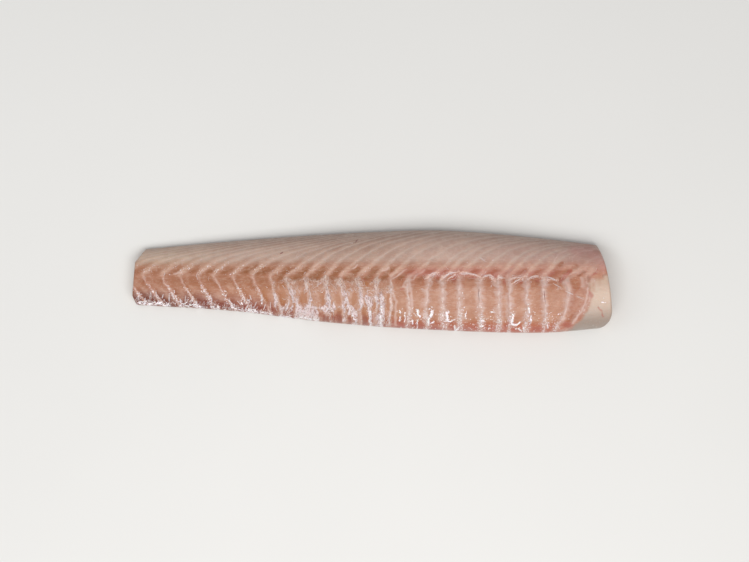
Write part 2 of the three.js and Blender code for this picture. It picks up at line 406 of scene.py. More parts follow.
# Bright wet flecks, most of them low on the belly side: painted highlights, white put into the colour where
# the wet surface glints, over small raised bumps.
GLINT_FLECKS = [
    (1, 400, 310, 400, 313), (1, 400, 317, 400, 320), (0.9, 401, 327), (0.8, 405.5, 312, 405.5, 321),
    (0.9, 412.5, 309), (1, 413.5, 314), (0.8, 412.5, 320, 412.5, 324), (1, 413, 328),
    (1.2, 417, 310, 417, 314, 419.5, 316), (0.7, 417, 320, 417, 328), (1.1, 429, 309), (0.9, 431.5, 307),
    (1.8, 432, 311, 431, 316), (1.3, 429, 318, 427.5, 323), (1.1, 431, 323, 433, 322), (1.7, 447.5, 312),
    (1.6, 446, 313, 446.5, 320), (0.9, 447, 321, 450, 321.5, 454, 318.5), (1, 445, 321), (0.8, 450, 325.5),
    (1.3, 454, 326, 457, 331), (1.2, 459, 327, 457, 330), (0.9, 461.5, 293), (0.7, 463, 299),
    (0.8, 463.5, 307), (0.9, 462, 310), (1.3, 464.5, 313, 464.5, 317), (0.9, 465.5, 319),
    (1, 481, 320, 484, 321), (1, 480, 326, 483, 325), (0.9, 473, 324), (1.1, 488, 328), (0.9, 490.5, 285),
    (0.9, 490, 311, 493, 311), (1.7, 513, 315), (1.5, 512.5, 315, 511.5, 322),
    (1, 511, 324, 515, 325, 520, 321.5), (1.1, 515.5, 328.5), (1, 518, 328, 521, 330.5),
    (1, 523, 327, 524, 331), (0.6, 526.5, 295.5), (0.6, 527.5, 299), (0.6, 527.5, 304),
    (1, 528.5, 308, 528.5, 313), (1, 530, 316, 530, 320), (0.9, 529, 323.5), (1.2, 547, 323, 548, 328),
    (0.9, 555.5, 327.5), (0.8, 554, 329.5), (1, 556.5, 314.5), (0.7, 558.5, 314.5), (0.9, 555.5, 289),
    (0.8, 601, 302, 604, 302), (0.5, 602, 298), (0.7, 170, 275), (0.7, 232, 275), (1, 322, 292),
    (0.8, 383, 304), (0.8, 383, 316), (0.8, 356, 311),
]
# Single dots of painted highlight, added to the glint flecks.
GLINT_DOTS = [
    (476, 321), (478, 322.5), (480, 320), (482, 321.5), (479, 325), (474, 324.5), (488, 325), (490, 323.5),
    (492, 327), (489.5, 328), (493, 322), (496, 325.5), (495, 329), (499, 320), (500, 324), (459, 299),
    (460.5, 304), (458, 307), (461, 313), (459, 318), (397, 311), (403, 308), (424, 313), (443, 315),
    (508, 317), (527, 315), (525, 321), (542, 326), (545, 329), (549, 322), (552, 326), (413, 303),
    (466, 322), (484, 327),
]
GLINT_FLECKS += [(0.65, *dot) for dot in GLINT_DOTS]
# White lace along the trimmed edge, and the spikes that it sends up between the flakes. The lace's painted
# white is partly torn tissue and partly painted glints of the wet edge.
NET = [
    (2.9, 137, 303, 152, 304, 168, 305), (2, 174.5, 304), (2.8, 180, 305, 190, 306, 203, 307),
    (1.6, 206, 307), (3.1, 211, 306.5, 217, 307.5), (2, 224, 309), (2.8, 231, 308, 238, 310),
    (3.4, 243, 310, 256, 312, 269, 313.5), (2.4, 281, 316.5, 291, 317.5), (1.1, 250, 300, 252, 306),
    (1.1, 263, 299, 262, 306), (1.2, 241, 302, 242, 306), (1, 151, 296, 150, 300), (1, 188, 299, 186, 303),
    (2.2, 297, 316.5, 306, 318, 317, 320), (1.3, 353, 313, 356, 323), (1.3, 370, 312, 370, 326),
    (1.8, 381, 306, 381, 325), (1.3, 349, 307, 351, 313),
]
SPIKES = [
    (139, 291, 138, 300), (156, 290, 157, 299), (164, 293, 162, 299), (169, 294, 169, 302),
    (172, 291, 174, 300), (193, 297, 190, 304), (245, 295, 244, 305), (257, 300, 254, 309),
    (250, 303, 245, 310), (263, 292, 261, 304), (212, 297, 211, 304), (230, 299, 233, 306),
    (237, 300, 242, 306), (270, 300, 271, 311), (151, 290, 150, 301), (186, 294, 185, 303),
    (145, 296, 144, 303), (180, 298, 181, 304), (197, 300, 196, 306), (250, 294, 252, 301),
    (266, 303, 263, 311),
]
# White threads where the backbone was pulled out, and single pale threads.
GARLAND = [
    (425, 277, 429, 275, 432, 273.5, 438, 273.7), (440, 279, 446, 276, 450, 273, 459, 272.5),
    (445, 281, 450, 278, 455, 275), (459, 275, 463, 273, 474, 274, 478, 277),
    (480, 279, 484, 276, 488, 275.5, 492, 278), (497, 279, 499, 277, 504, 279),
    (510, 280, 514, 277, 523, 276), (511, 284, 516, 281, 521, 278),
    (527, 279, 532, 277, 537, 276, 541, 279), (543, 280, 548, 278, 552, 279, 557, 280.5),
    (488, 276, 495, 280),
]
STRANDS = [
    (550, 283, 556, 286, 563, 291), (562, 290.5, 568, 293, 574, 295.5),
    (573, 295.2, 579, 297.2, 585, 299.3), (420, 289, 424, 289), (282, 284, 287, 289), (265, 286, 269, 288),
    (478, 257, 482, 260, 486, 261), (430, 305, 432, 309), (544, 277, 551, 278.5, 557, 281),
    (286, 283, 292, 293), (200, 270, 197, 276, 199, 282),
]
# Blood in the seam and under the skin of the head end.
BLOOD = [
    (1.2, 401, 289, 403.5, 288.5), (1.6, 424, 272, 430, 272), (2.2, 437, 277, 441, 274),
    (2, 444, 273, 449, 272), (2.2, 452, 279, 455, 276), (1.6, 469, 278, 474, 277),
    (1.8, 476, 273, 480, 271), (3.4, 491, 275, 496, 276), (2, 503, 282), (2, 519, 282),
    (1.6, 527, 276, 531, 273), (1.8, 536, 281), (1.6, 548, 275, 552, 273),
    (2.2, 559, 281, 564, 276, 569, 271), (1.4, 591, 275, 595, 273), (1.2, 595, 270, 598, 270.5),
    (2, 588.7, 293, 589, 296.5), (3.2, 564, 324, 569, 326), (0.6, 596.5, 307, 600, 311, 602.5, 317),
    (2.4, 462, 329, 471, 328), (2, 437, 329, 444, 329), (2.2, 400, 324, 404, 326),
    (0.9, 362, 279, 366, 279.5), (1.8, 505, 326, 509, 322), (2, 534, 328, 540, 329),
]
# Deep amber hollows at the seam, darkened partly as painted shade in the hollows, and orange muscle near
# the head.
POCKETS = [
    (2.4, 247, 271, 256, 266), (2.6, 257, 273, 267, 270), (3.8, 281, 276, 286, 271),
    (3.4, 297, 278, 300, 274, 306, 271), (3.6, 313, 277, 319, 274, 324, 271), (3.2, 331, 278, 336, 273),
    (3.4, 347, 279, 352, 276, 358, 271), (2.8, 366, 278, 371, 275, 377, 271), (2.8, 383, 278, 387, 275),
    (2.4, 400, 277, 405, 275, 410, 272), (2.2, 419, 279, 423, 275), (2.2, 436, 280, 438, 277),
    (2.4, 452, 281, 455, 277), (2.4, 468, 279, 472, 277), (3.6, 560, 278, 564, 275, 568, 271),
    (2.2, 571, 268, 575, 266), (3.4, 552, 272, 557, 270), (2, 556.5, 268, 560, 264),
    (1.5, 577, 275, 583, 271), (2.2, 588, 277, 588.6, 286), (1.2, 602, 276, 604, 274), (2, 536, 281),
]
# Broad pale septa near the head, and the pale rim of the cut.
PALE = [
    (3.4, 566, 281, 567, 289), (1.3, 567, 292, 566, 300, 565, 308, 562, 316), (2, 562, 318),
    (2.3, 580, 278, 581.5, 281, 581, 286), (1.1, 586.5, 288, 585.5, 296, 584, 303, 581, 310),
    (1.2, 580, 312, 576, 318, 570, 324), (2.8, 592, 281, 597, 287),
    (0.9, 553, 262, 556, 256, 562, 251, 570, 249, 583, 248), (0.9, 571, 257, 576, 253, 583, 251, 592, 251),
    (0.9, 607.5, 285, 610, 305, 610, 316), (0.8, 596, 246, 600, 253, 602, 260),
    (1.5, 391, 287, 394, 295, 395.5, 303, 396, 325), (1.5, 409, 280, 411, 290, 412, 300, 411, 312),
    (1.4, 403, 286, 410, 288), (1.8, 447, 323, 444, 331),
    (1.1, 403, 284, 408, 280, 413, 279, 418, 274, 424, 270), (1, 393, 278, 399, 274.5, 406, 270),
    (2.2, 344.5, 311, 345, 320), (2, 360, 311, 359, 322), (1.2, 374, 312, 374, 324),
    (0.9, 353, 268, 358, 265), (1, 383, 271, 389, 268), (1, 175, 274, 182, 272), (0.6, 144, 273, 150, 270),
]
# Pink on the back corner of the head cut.
BLUSH = [
    (6, 574, 251, 588, 249, 596, 258), (2.6, 577, 250, 584, 248.5, 592, 250), (3.6, 600, 260, 602, 270),
]
marks = (FINGERS, WINDOWS, GLINT_FLECKS, NET, BLOOD, POCKETS, PALE, BLUSH)
print("strokes drawn by hand:", sum(len(group) for group in marks))

# %% [markdown]
# ## The fields
#
# Each field is one number for each point of the mesh, stored as an attribute that the materials read. Rules
# give the broad ones: the hollow just behind the seam of every flake shows deep amber, partly the flesh's
# own colour and partly painted shade in the hollow, a see-through veil hangs between the septa of the
# middle, and a spray of painted glints gathers along the septa low on the thick end.

# %% Fields
WANDER = 1.0  # mm that a septum strays from its rule
NEAR = 0.16  # share of a flake that counts as near its septum
VEIL = 0.48
ROPE_PIXELS = 1.0  # half width of the garland's strokes
hollow_strength = through([
    (-180, 0.5), (-120, 0.7), (-70, 0.85), (20, 0.8), (60, 0.6), (135, 0.45), (150, 0.1), (180, 0.1),
])
upper_strength = through([(-50, 0.5), (-34, 0.2), (36, 0.2), (50, 0.45)])
cream_start = through([  # where the cream fat in the belly corner of the head cut begins
    (-37, 147.7), (-32.7, 150.7), (-27.4, 156.7), (-21.4, 160.5), (-13.9, 162.7), (-2.6, 165), (0.5, 166.5),
    (3, 171), (6, 176.5), (10, 182),
])


def fields_at(x, y):
    """All the fields at some places in plan."""
    rise = y - SEAM_Y  # mm above the seam
    flake = flake_of(x, y)
    wave = WANDER * (layered_noise(x / 9, y / 9, 3) + 0.6 * soft_noise(x / 2.6, y / 3.4, 7))
    wave = wave + 0.9 * soft_noise(x / 14, y / 6.5, 79) * smooth_step(-2, -8, rise)
    flake = flake + wave / MEAN_WIDTH * smooth_step(0, 3, np.abs(rise))
    edge = y - belly_edge(x)
    part = flake - np.floor(flake)
    swell = np.sin(np.pi * part) ** 2  # 1 in the middle of a flake, 0 at its septa
    near_septum = bump(np.minimum(part, 1 - part), NEAR)
    belly = smooth_step(0, -4, rise)

    u, v = wandering(x, y, 0.9)
    # The veil of film hangs from a scalloped line just under the seam.
    wobble = 5 * layered_noise(x / 7, y / 6, 13)
    under = rise + 3 * swell + 0.5 * wobble
    covered = smooth_step(-79, -64, x + wobble) * (1 - smooth_step(10, 20, x + wobble))
    covered = covered * smooth_step(3, -3, under)
    film = covered * (VEIL + 0.3 * near_septum + 0.2 * layered_noise(x / 3, y / 4, 19))
    film = film + 0.3 * covered * bump(under + 1, 1.3)
    windows = strokes(u, v, WINDOWS)
    film = film * (1 - windows)
    fingers = strokes(u, v, FINGERS) * (0.66 + 0.34 * smooth_step(-9, -17, rise))
    film = np.maximum(film, fingers * (1 - 0.88 * windows))

    # Amber hollows behind the seam, darker partly as painted shade in the hollow, and the scalloped line
    # where back and belly colours meet.
    pocket = np.maximum(bump(rise - 4.5, 4.2), upper_strength(x) * bump(rise - 9, 6))
    pocket = swell * pocket * hollow_strength(x)
    pocket = np.maximum(pocket, strokes(u, v, POCKETS))
    turn = rise - 7 * swell + 1.5 * layered_noise(x / 3, y / 3, 73)

    # Spray of painted glints low on the thick end, behind the seam at the tail, and along the septa of the
    # tail.
    low = smooth_step(26, 6, edge) * smooth_step(16, 34, x) * smooth_step(144, 136, x) * belly
    glint_spray = low * (0.25 + 0.75 * near_septum)
    high_left = smooth_step(-70, -90, x) * bump(rise - 5.5, 4.0)
    glint_spray = np.maximum(glint_spray, 0.36 * high_left * near_septum)
    left = smooth_step(-75, -100, x) * smooth_step(3, 14, -rise)
    left = left * (1 - 0.45 * smooth_step(-138, -150, x))
    glint_spray = np.maximum(glint_spray, left * (0.04 + 1.1 * near_septum))
    # Blood in the seam, the frayed garland, and the fat in the belly corner of the head cut.
    seam_blood = 0.76 * bump(rise - 3, 4) * smooth_step(15, 32, x) * smooth_step(148, 138, x)
    seam_blood = seam_blood * (1 - 0.35 * smooth_step(75, 105, x))
    frayed = 0.74 + 0.4 * layered_noise(x / 2.6, y / 2.6, 89)
    rope = strokes(*wandering(x, y, 1.6), [(ROPE_PIXELS, *path) for path in GARLAND])
    fade = 4.5 * smooth_step(-12, -2, y)  # its border is soft towards the seam
    past_start = x - cream_start(y) + (1.4 + 0.9 * fade) * layered_noise(x / 4, y / 4, 83)
    return {
        "flake": flake,
        "rise": rise,
        "turn": turn,
        "edge": edge,
        "back": back_edge(x) - y,
        "film": film,
        "net": strokes(*wandering(x, y, 1.2), NET),
        "glint_fleck": strokes(*wandering(x, y, 0.9), GLINT_FLECKS),
        "glint_spray": glint_spray,
        "blood": np.maximum(strokes(u, v, BLOOD), seam_blood),
        "pocket": pocket,
        "window": windows,
        "rope": frayed * rope,
        "pale": strokes(u, v, PALE),
        "cream": smooth_step(-1.5 - fade, 3.5 + fade, past_start),
        "blush": strokes(u, v, BLUSH),
    }


sample = fields_at(np.array([-50.0, 60.0]), np.array([-22.0, -20.0]))
print("fields at two places:", {name: np.round(value, 2).tolist() for name, value in sample.items()})

# %% [markdown]
# ## The mesh
#
# The body is one ring of points for every half mm of its length. A ring starts at the belly foot,
# climbs the belly side, crosses the top, rolls down the back and returns under the fillet. Rows
# are crowded where the surface curves. The first and last few rings round off the rims that the
# knife left, and rings that shrink towards the middle of each cut close the ends.

# %% Rows across
BELLY_ROWS = 24
MIDDLE_ROWS = 70
BACK_ROWS = 34
SIDE_ROWS = 3
FOOT_ROWS = 14
COLUMNS = 636
RIM = 1.5  # radius of the soft rim of a cut
RIM_STEPS = 5

rows = []  # (share of the way from belly edge to back, offset in mm, height kind, height share)
for k in range(SIDE_ROWS):
    turn = math.pi / 2 * k / SIDE_ROWS
    rows.append((0.0, FOOT_INSET * (1 - math.sin(turn)), "side", 1 - math.cos(turn)))
for k in range(BELLY_ROWS):
    turn = math.pi / 2 * k / BELLY_ROWS
    rows.append((0.0, BELLY_CURVE * (1 - math.cos(turn) ** (2 / BELLY_SHARPNESS)), "top", 0.0))
for k in range(MIDDLE_ROWS):
    share = k / MIDDLE_ROWS
    rows.append((share, BELLY_CURVE * (1 - share) - BACK_CURVE * share, "top", 0.0))
for k in range(BACK_ROWS + 1):
    turn = math.pi / 2 * (1 - k / BACK_ROWS)
    rows.append((1.0, -BACK_CURVE * (1 - math.cos(turn) ** (2 / BACK_SHARPNESS)), "top", 0.0))
for k in range(1, SIDE_ROWS + 1):
    turn = math.pi / 2 * (1 - k / SIDE_ROWS)
    rows.append((1.0, -FOOT_INSET * (1 - math.sin(turn)), "side", 1 - math.cos(turn)))
for k in range(1, FOOT_ROWS + 1):
    share = 1 - k / (FOOT_ROWS + 1)
    rows.append((share, FOOT_INSET * (1 - 2 * share), "foot", 0.0))

row_share = np.array([r[0] for r in rows])
row_offset = np.array([r[1] for r in rows])
row_top = np.array([r[2] == "top" for r in rows])
row_side = np.array([r[2] == "side" for r in rows])
row_side_height = LIP * np.array([r[3] for r in rows])
print("points in a ring:", len(rows))

# %% Rings along
INSIDE = 0.9994  # keeps the widest points within the solid's box
SETTLING_ROUNDS = 20


def row_y(x):
    """Where each row runs at x."""
    low = belly_edge(x)
    return (low + (back_edge(x) - low) * row_share + row_offset) * INSIDE


def row_end(cut):
    """Where each row meets a cut."""
    x = np.full(len(rows), float(cut(0.0)))
    for _ in range(SETTLING_ROUNDS):
        x = cut(row_y(x))
    return x


tail_x = row_end(tail_cut)
head_x = row_end(head_cut)
rim_turn = np.linspace(0, math.pi / 2, RIM_STEPS + 1)
rim_in = RIM * (1 - np.cos(rim_turn))
rim_drop = RIM * (1 - np.sin(rim_turn))
along = np.linspace(0, 1, COLUMNS)[1:-1, None]
x_grid = np.concatenate([
    tail_x + rim_in[:, None],
    (tail_x + RIM) * (1 - along) + (head_x - RIM) * along,
    head_x - rim_in[::-1, None],
])
drop = np.concatenate([rim_drop, np.zeros(len(along)), rim_drop[::-1]])[:, None]
y_grid = row_y(x_grid)
fields = fields_at(x_grid, y_grid)
print("rings:", len(x_grid), "spacing in mm:", round(float(x_grid[300, 60] - x_grid[299, 60]), 2))

# %% [markdown]
# Fine relief comes on top of the flakes: each flake stands a little higher or lower than the
# next, film lies on the flesh as a thin skin, flecks and the net at the trimmed edge are raised,
# and the muscle fibres leave faint ridges along the fish.

# %% Relief and attributes
FILM_THICKNESS = 0.3
FLECK_HEIGHT = 0.18
NET_HEIGHT = 0.4
PALE_HEIGHT = 0.08
ROPE_HEIGHT = 0.14
POCKET_SINK = 0.35
FLAKE_STEP = 0.3
UNDER_SOLID = 0.22  # what is raised stays within the solid's height


def height_at(x, y, f):
    """Height of the finished bone side in mm."""
    soft = roundness(x, y)
    number = np.floor(f["flake"])
    step = FLAKE_STEP * soft_noise(number * 0.77 + 0.5, number * 0.31, 23)
    part = f["flake"] - number
    step = step * np.abs(np.sin(np.pi * part)) ** 0.7
    calmer = 1 - 0.5 * smooth_step(148, 156, x)
    fibres = 0.05 * soft_noise(x / 3.5, y / 0.9, 29) + 0.12 * layered_noise(x / 6, y / 5, 31)
    torn = layered_noise(f["flake"] * 6, y / 4.5, 37)
    film = smooth_step(0.35, 0.75, f["film"] + 0.3 * torn)
    ridges = 0.5 + 0.5 * soft_noise(x / 1.4, y / 2.0, 41)
    raised = FILM_THICKNESS * film + FLECK_HEIGHT * smooth_step(0.4, 0.8, f["glint_fleck"])
    raised = raised + NET_HEIGHT * f["net"] * ridges + PALE_HEIGHT * f["pale"] + ROPE_HEIGHT * f["rope"]
    sunk = POCKET_SINK * strokes(x, y, POCKETS) + UNDER_SOLID + relief(x, y, f["flake"]) * calmer
    return slab_height(x, y) + soft * (raised + step + fibres - sunk)


z_grid = np.where(row_top, height_at(x_grid, y_grid, fields), 0.0)
soft_grid = np.where(row_top, roundness(x_grid, y_grid), 0.0)
z_grid = z_grid - drop * soft_grid
z_grid = np.where(row_side, row_side_height, z_grid)
print("highest point in mm:", round(float(z_grid.max()), 2))

# %% Cut faces
CAP_RINGS = 9
CAP_BULGE = 0.5  # a cut face is never quite flat
CAP_LUMPS = 0.25
CAP_WIDTH = 0.72  # share of the face's width that its middle line has
CAP_MIDDLE = 0.45  # share of its height at which that line lies
RIM_SINK = 0.15
DISH = 0.35  # mm that the middle lies further in than the rim


def cap_points(ring_y, ring_z, cut, outward):
    """Rings that shrink from the rim of a cut to its middle line."""
    middle = (ring_y.min() + ring_y.max()) / 2
    top = float(ring_z.max())
    layers = []
    for k in range(1, CAP_RINGS + 1):
        share = k / CAP_RINGS
        y = ring_y + (middle + (ring_y - middle) * CAP_WIDTH - ring_y) * share
        z = ring_z + (top * CAP_MIDDLE - ring_z) * share
        lumps = CAP_LUMPS * layered_noise(y / 4, z / 4, 43) * min(1, 4 * share)
        swell = CAP_BULGE * (share * (1 - share) + lumps)
        layers.append(np.stack([cut(y) + outward * (swell - RIM_SINK - DISH * share), y, z], -1))
    return layers


tail_cap = cap_points(y_grid[0], z_grid[0], tail_cut, -1)
head_cap = cap_points(y_grid[-1], z_grid[-1], head_cut, 1)
body_points = np.stack([x_grid, y_grid, z_grid], -1)
points = np.concatenate([body_points.reshape(-1, 3), *tail_cap, *head_cap]) * MM
print("points in all:", len(points))

# %% [markdown]
# The faces follow the rings. Each one also gets a place on a flat map, so that colours can be
# baked onto it evenly: the body unrolls into one long strip, cut open at the belly foot, and the
# two ends lie beside each other under it.

# %% Faces and map
ring_size = len(rows)
ring_count = len(x_grid)
j = np.arange(ring_size)
j_next = (j + 1) % ring_size
i = np.arange(ring_count - 1)[:, None]
ring, after = i * ring_size, (i + 1) * ring_size
body_faces = np.stack([ring + j, after + j, after + j_next, ring + j_next], -1)

middle_ring = body_points[ring_count // 2]
steps = np.linalg.norm(np.diff(np.vstack([middle_ring, middle_ring[:1]]), axis=0)[:, 1:], axis=1)
girth = np.concatenate([[0], np.cumsum(steps)]) / steps.sum()
STRIP_FLOOR = 0.14  # the cut faces lie on the map below this
STRIP_TOP = 0.998
CAP_ROOM = (80, 32)  # mm across and up that a cut face is given
CAP_PLACE = (0.45, 0.125)  # the size of that room on the map
v_low = STRIP_FLOOR + (STRIP_TOP - STRIP_FLOOR) * girth[j]
v_high = STRIP_FLOOR + (STRIP_TOP - STRIP_FLOOR) * girth[j + 1]
u_ring = 0.002 + 0.996 * np.linspace(0, 1, ring_count)
u_low = np.broadcast_to(u_ring[:-1, None], body_faces.shape[:2])
u_high = np.broadcast_to(u_ring[1:, None], body_faces.shape[:2])
v_low = np.broadcast_to(v_low, body_faces.shape[:2])
v_high = np.broadcast_to(v_high, body_faces.shape[:2])
corners = ((u_low, v_low), (u_high, v_low), (u_high, v_high), (u_low, v_high))
body_map = np.stack([np.stack(corner, -1) for corner in corners], -2)


def cap_faces(rim_start, first_layer, flip):
    """Quads between the rings of a cut face. The last ring has closed to a line."""
    starts = [rim_start] + [first_layer + k * ring_size for k in range(CAP_RINGS)]
    quads = []
    for a, b in zip(starts, starts[1:]):
        quad = np.stack([a + j, b + j, b + j_next, a + j_next], -1)
        quads.append(quad[:, ::-1] if flip else quad)
    return np.concatenate(quads)


cap_start = ring_size * ring_count
tail_quads = cap_faces(0, cap_start, True)
head_quads = cap_faces(ring_size * (ring_count - 1), cap_start + CAP_RINGS * ring_size, False)


def cap_map(indices, left):
    """A cut face lies flat on the map, as seen from outside."""
    p = points[np.array(indices)] / MM
    across = left + CAP_PLACE[0] * (p[..., 1] / CAP_ROOM[0] + 0.5)
    return np.stack([across, 0.005 + CAP_PLACE[1] * p[..., 2] / CAP_ROOM[1]], -1)


faces = np.concatenate([body_faces.reshape(-1, 4), tail_quads, head_quads]).tolist()
map_points = np.concatenate([
    body_map.reshape(-1, 2),
    cap_map(tail_quads, 0.01).reshape(-1, 2),
    cap_map(head_quads, 0.52).reshape(-1, 2),
])
BONE_SIDE, SKIN_SIDE, KNIFE_CUT = 0, 1, 2
foot_row = ~(row_top | row_side)
body_kind = np.where(foot_row | foot_row[j_next], SKIN_SIDE, BONE_SIDE)
face_kind = np.concatenate([
    np.tile(body_kind, ring_count - 1), np.full(len(tail_quads) + len(head_quads), KNIFE_CUT),
])
print("faces:", len(faces), "triangles about:", 2 * len(faces))

# %% Build the fillet
fillet_mesh = bpy.data.meshes.new("fillet_flesh")
fillet_mesh.from_pydata(points.tolist(), [], faces)
fillet_mesh.polygons.foreach_set("material_index", face_kind.astype(np.int32))
fillet_mesh.polygons.foreach_set("use_smooth", np.ones(len(faces), bool))
flat_map = fillet_mesh.uv_layers.new(name="OFBake")
flat_map.data.foreach_set("uv", map_points.astype(np.float32).ravel())
all_fields = fields_at(points[:, 0] / MM, points[:, 1] / MM)
for name, value in all_fields.items():
    attribute = fillet_mesh.attributes.new(name, "FLOAT", "POINT")
    attribute.data.foreach_set("value", value.astype(np.float32))
SHARP_DEGREES = 48  # edges sharper than this aren't smoothed over
STEP_FOR_SLOPE = 0.05
px, py = points[:, 0] / MM, points[:, 1] / MM
slope_x = (flake_of(px + STEP_FOR_SLOPE, py) - flake_of(px, py)) / STEP_FOR_SLOPE
slope_y = (flake_of(px, py + STEP_FOR_SLOPE) - flake_of(px, py)) / STEP_FOR_SLOPE
crowd = fillet_mesh.attributes.new("crowd", "FLOAT", "POINT")  # flakes for each mm, square to the septa
crowd.data.foreach_set("value", np.hypot(slope_x, slope_y).astype(np.float32))
fillet_mesh.update()
fillet_mesh.validate()
fillet_mesh.set_sharp_from_angle(angle=math.radians(SHARP_DEGREES))
fillet = bpy.data.objects.new("fillet_flesh", fillet_mesh)
bpy.context.scene.collection.objects.link(fillet)
print("fillet box in mm:", [round(v / MM, 1) for v in fillet.dimensions])
solid = bmesh.new()
solid.from_mesh(fillet_mesh)
print("volume in cubic cm:", round(solid.calc_volume(signed=True) * 1e6, 1))
solid.free()

# %% [markdown]
# ## Threads of connective tissue
#
# What makes raw fish look torn rather than moulded are fine white threads: a garland along the seam where
# the backbone was pulled out, a lace at the trimmed edge, veins in the film and frayed septa. Paint can't
# give them their small shadows and glints, so each is a thin tapered tube that lies on the surface with its
# ends sunk in. The garland is drawn from given lines. The rest is scattered where a field says and follows
# the septa.

# %% Laying threads
THREAD_POINTS = 9
THREAD_SIDES = 4
SINK = 0.3  # mm that the ends of a thread go under the surface
LIFT = 0.04  # mm that its middle lies over it
EDGE_GAP = 0.4  # mm that threads keep to the trimmed edge
CUT_GAP = 1.2  # mm that they keep to the knife cuts
END_SHARE = 0.3  # of the radius is left at the ends
TRIES = 4000  # random places tried at a time
chance = np.random.default_rng(71)


def septum_heading(x, y):
    """Direction in plan of the septum at x, y, towards the belly edge."""
    small = 0.1
    here = flake_of(x, y)
    return np.arctan2(here - flake_of(x + small, y), flake_of(x, y + small) - here)


def scatter(count, weight, low, high):
    """Random places in a box, more of them where the weight is high."""
    kept = np.zeros((0, 2))
    while len(kept) < count:
        tried = chance.uniform(low, high, (TRIES, 2))
        kept = np.concatenate([kept, tried[chance.random(TRIES) < weight(tried[:, 0], tried[:, 1])]])
    return kept[:count]


def grow(places, headings, lengths, wander):
    """Crooked lines from some places, each with its own heading and length."""
    count = len(places)
    turns = headings[:, None] + np.cumsum(chance.normal(0, wander, (count, THREAD_POINTS - 1)), 1)
    strides = (lengths / (THREAD_POINTS - 1))[:, None, None] * np.stack([np.cos(turns), np.sin(turns)], -1)
    return places[:, None, :] + np.concatenate([np.zeros((count, 1, 2)), np.cumsum(strides, 1)], 1)


def drawn(paths, copies, spread):
    """Drawn lines in picture pixels, each laid a few times with small shifts."""
    lines = []
    for path in paths:
        points_on_line = on_fillet(path)
        place = np.linspace(0, len(points_on_line) - 1, THREAD_POINTS)
        corner_numbers = np.arange(len(points_on_line))
        line = np.stack([np.interp(place, corner_numbers, points_on_line[:, k]) for k in range(2)], -1)
        for _ in range(copies):
            sway = np.cumsum(chance.normal(0, spread / 2, (THREAD_POINTS, 2)), 0)
            lines.append(line + chance.normal(0, spread, 2) + sway - sway.mean(0))
    return np.array(lines)


def lay(paths):
    """Puts lines on the surface, clear of the edges."""
    y = np.maximum(paths[..., 1], belly_edge(paths[..., 0]) + EDGE_GAP)
    x = np.clip(paths[..., 0], tail_cut(y) + CUT_GAP, head_cut(y) - CUT_GAP)
    share = np.linspace(0, 1, THREAD_POINTS)
    lift = LIFT - SINK * (1 - np.sin(math.pi * share) ** 0.5)
    return np.stack([x, y, height_at(x, y, fields_at(x, y)) + lift], -1)


def thread_piece(name, paths, radii):
    """One mesh of tapered tubes."""
    count = len(paths)
    paths = lay(paths)
    tangent = np.gradient(paths, axis=1)
    tangent /= np.linalg.norm(tangent, axis=2, keepdims=True) + 1e-9
    side = np.cross(tangent, (0, 0, 1.0))
    side /= np.linalg.norm(side, axis=2, keepdims=True) + 1e-9
    up = np.cross(side, tangent)
    share = np.linspace(0, 1, THREAD_POINTS)
    taper = END_SHARE + (1 - END_SHARE) * np.sin(math.pi * share) ** 0.6
    thickness_there = radii[:, None] * taper
    turn = 2 * math.pi * np.arange(THREAD_SIDES) / THREAD_SIDES
    ring = np.cos(turn)[:, None] * side[:, :, None, :] + np.sin(turn)[:, None] * up[:, :, None, :]
    corners = (paths[:, :, None, :] + thickness_there[:, :, None, None] * ring).reshape(-1, 3) * MM
    size = THREAD_POINTS * THREAD_SIDES
    k = np.arange(THREAD_POINTS - 1)[:, None] * THREAD_SIDES
    a = np.arange(THREAD_SIDES)
    b = (a + 1) % THREAD_SIDES
    wall = np.stack([k + a, k + THREAD_SIDES + a, k + THREAD_SIDES + b, k + b], -1).reshape(-1, 4)
    ends = np.array([a, a[::-1] + size - THREAD_SIDES])
    one = np.concatenate([wall, ends])
    quads = (np.arange(count)[:, None, None] * size + one).reshape(-1, 4)
    mesh = bpy.data.meshes.new(name)
    mesh.from_pydata(corners.tolist(), [], quads.tolist())
    mesh.polygons.foreach_set("use_smooth", np.ones(len(quads), bool))
    tone = mesh.attributes.new("tone", "FLOAT", "POINT")
    tone.data.foreach_set("value", np.repeat(chance.random(count), size).astype(np.float32))
    per_row = math.ceil(math.sqrt(count))
    cell = np.stack([np.arange(count) % per_row, np.arange(count) // per_row], -1)
    vertex = one.ravel()
    within_x = 0.1 + 0.8 * (vertex // THREAD_SIDES) / (THREAD_POINTS - 1)
    within_y = 0.1 + 0.8 * (vertex % THREAD_SIDES) / (THREAD_SIDES - 1)
    within = np.stack([within_x, within_y], -1)
    thread_map = (cell[:, None, :] + within) / per_row
    flat = mesh.uv_layers.new(name="OFBake")
    flat.data.foreach_set("uv", thread_map.astype(np.float32).ravel())
    mesh.update()
    piece = bpy.data.objects.new(name, mesh)
    bpy.context.scene.collection.objects.link(piece)
    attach(piece, "root")
    return piece


print("a thread has", THREAD_POINTS * THREAD_SIDES, "points")

# %% White threads
garland = drawn(GARLAND, copies=4, spread=0.6)
strands = drawn(STRANDS, copies=2, spread=0.3)
spikes = drawn(SPIKES, copies=3, spread=0.22)


def near(x, y, reach):
    """1 on a septum, 0 at reach mm from it."""
    flake = flake_of(x, y)
    slope = np.abs(flake_of(x + 0.1, y) - flake) * 10
    return bump(np.abs(flake - np.round(flake)) / np.maximum(slope, 0.03), reach)


def film_weight(x, y):
    return smooth_step(0.25, 0.9, fields_at(x, y)["film"])


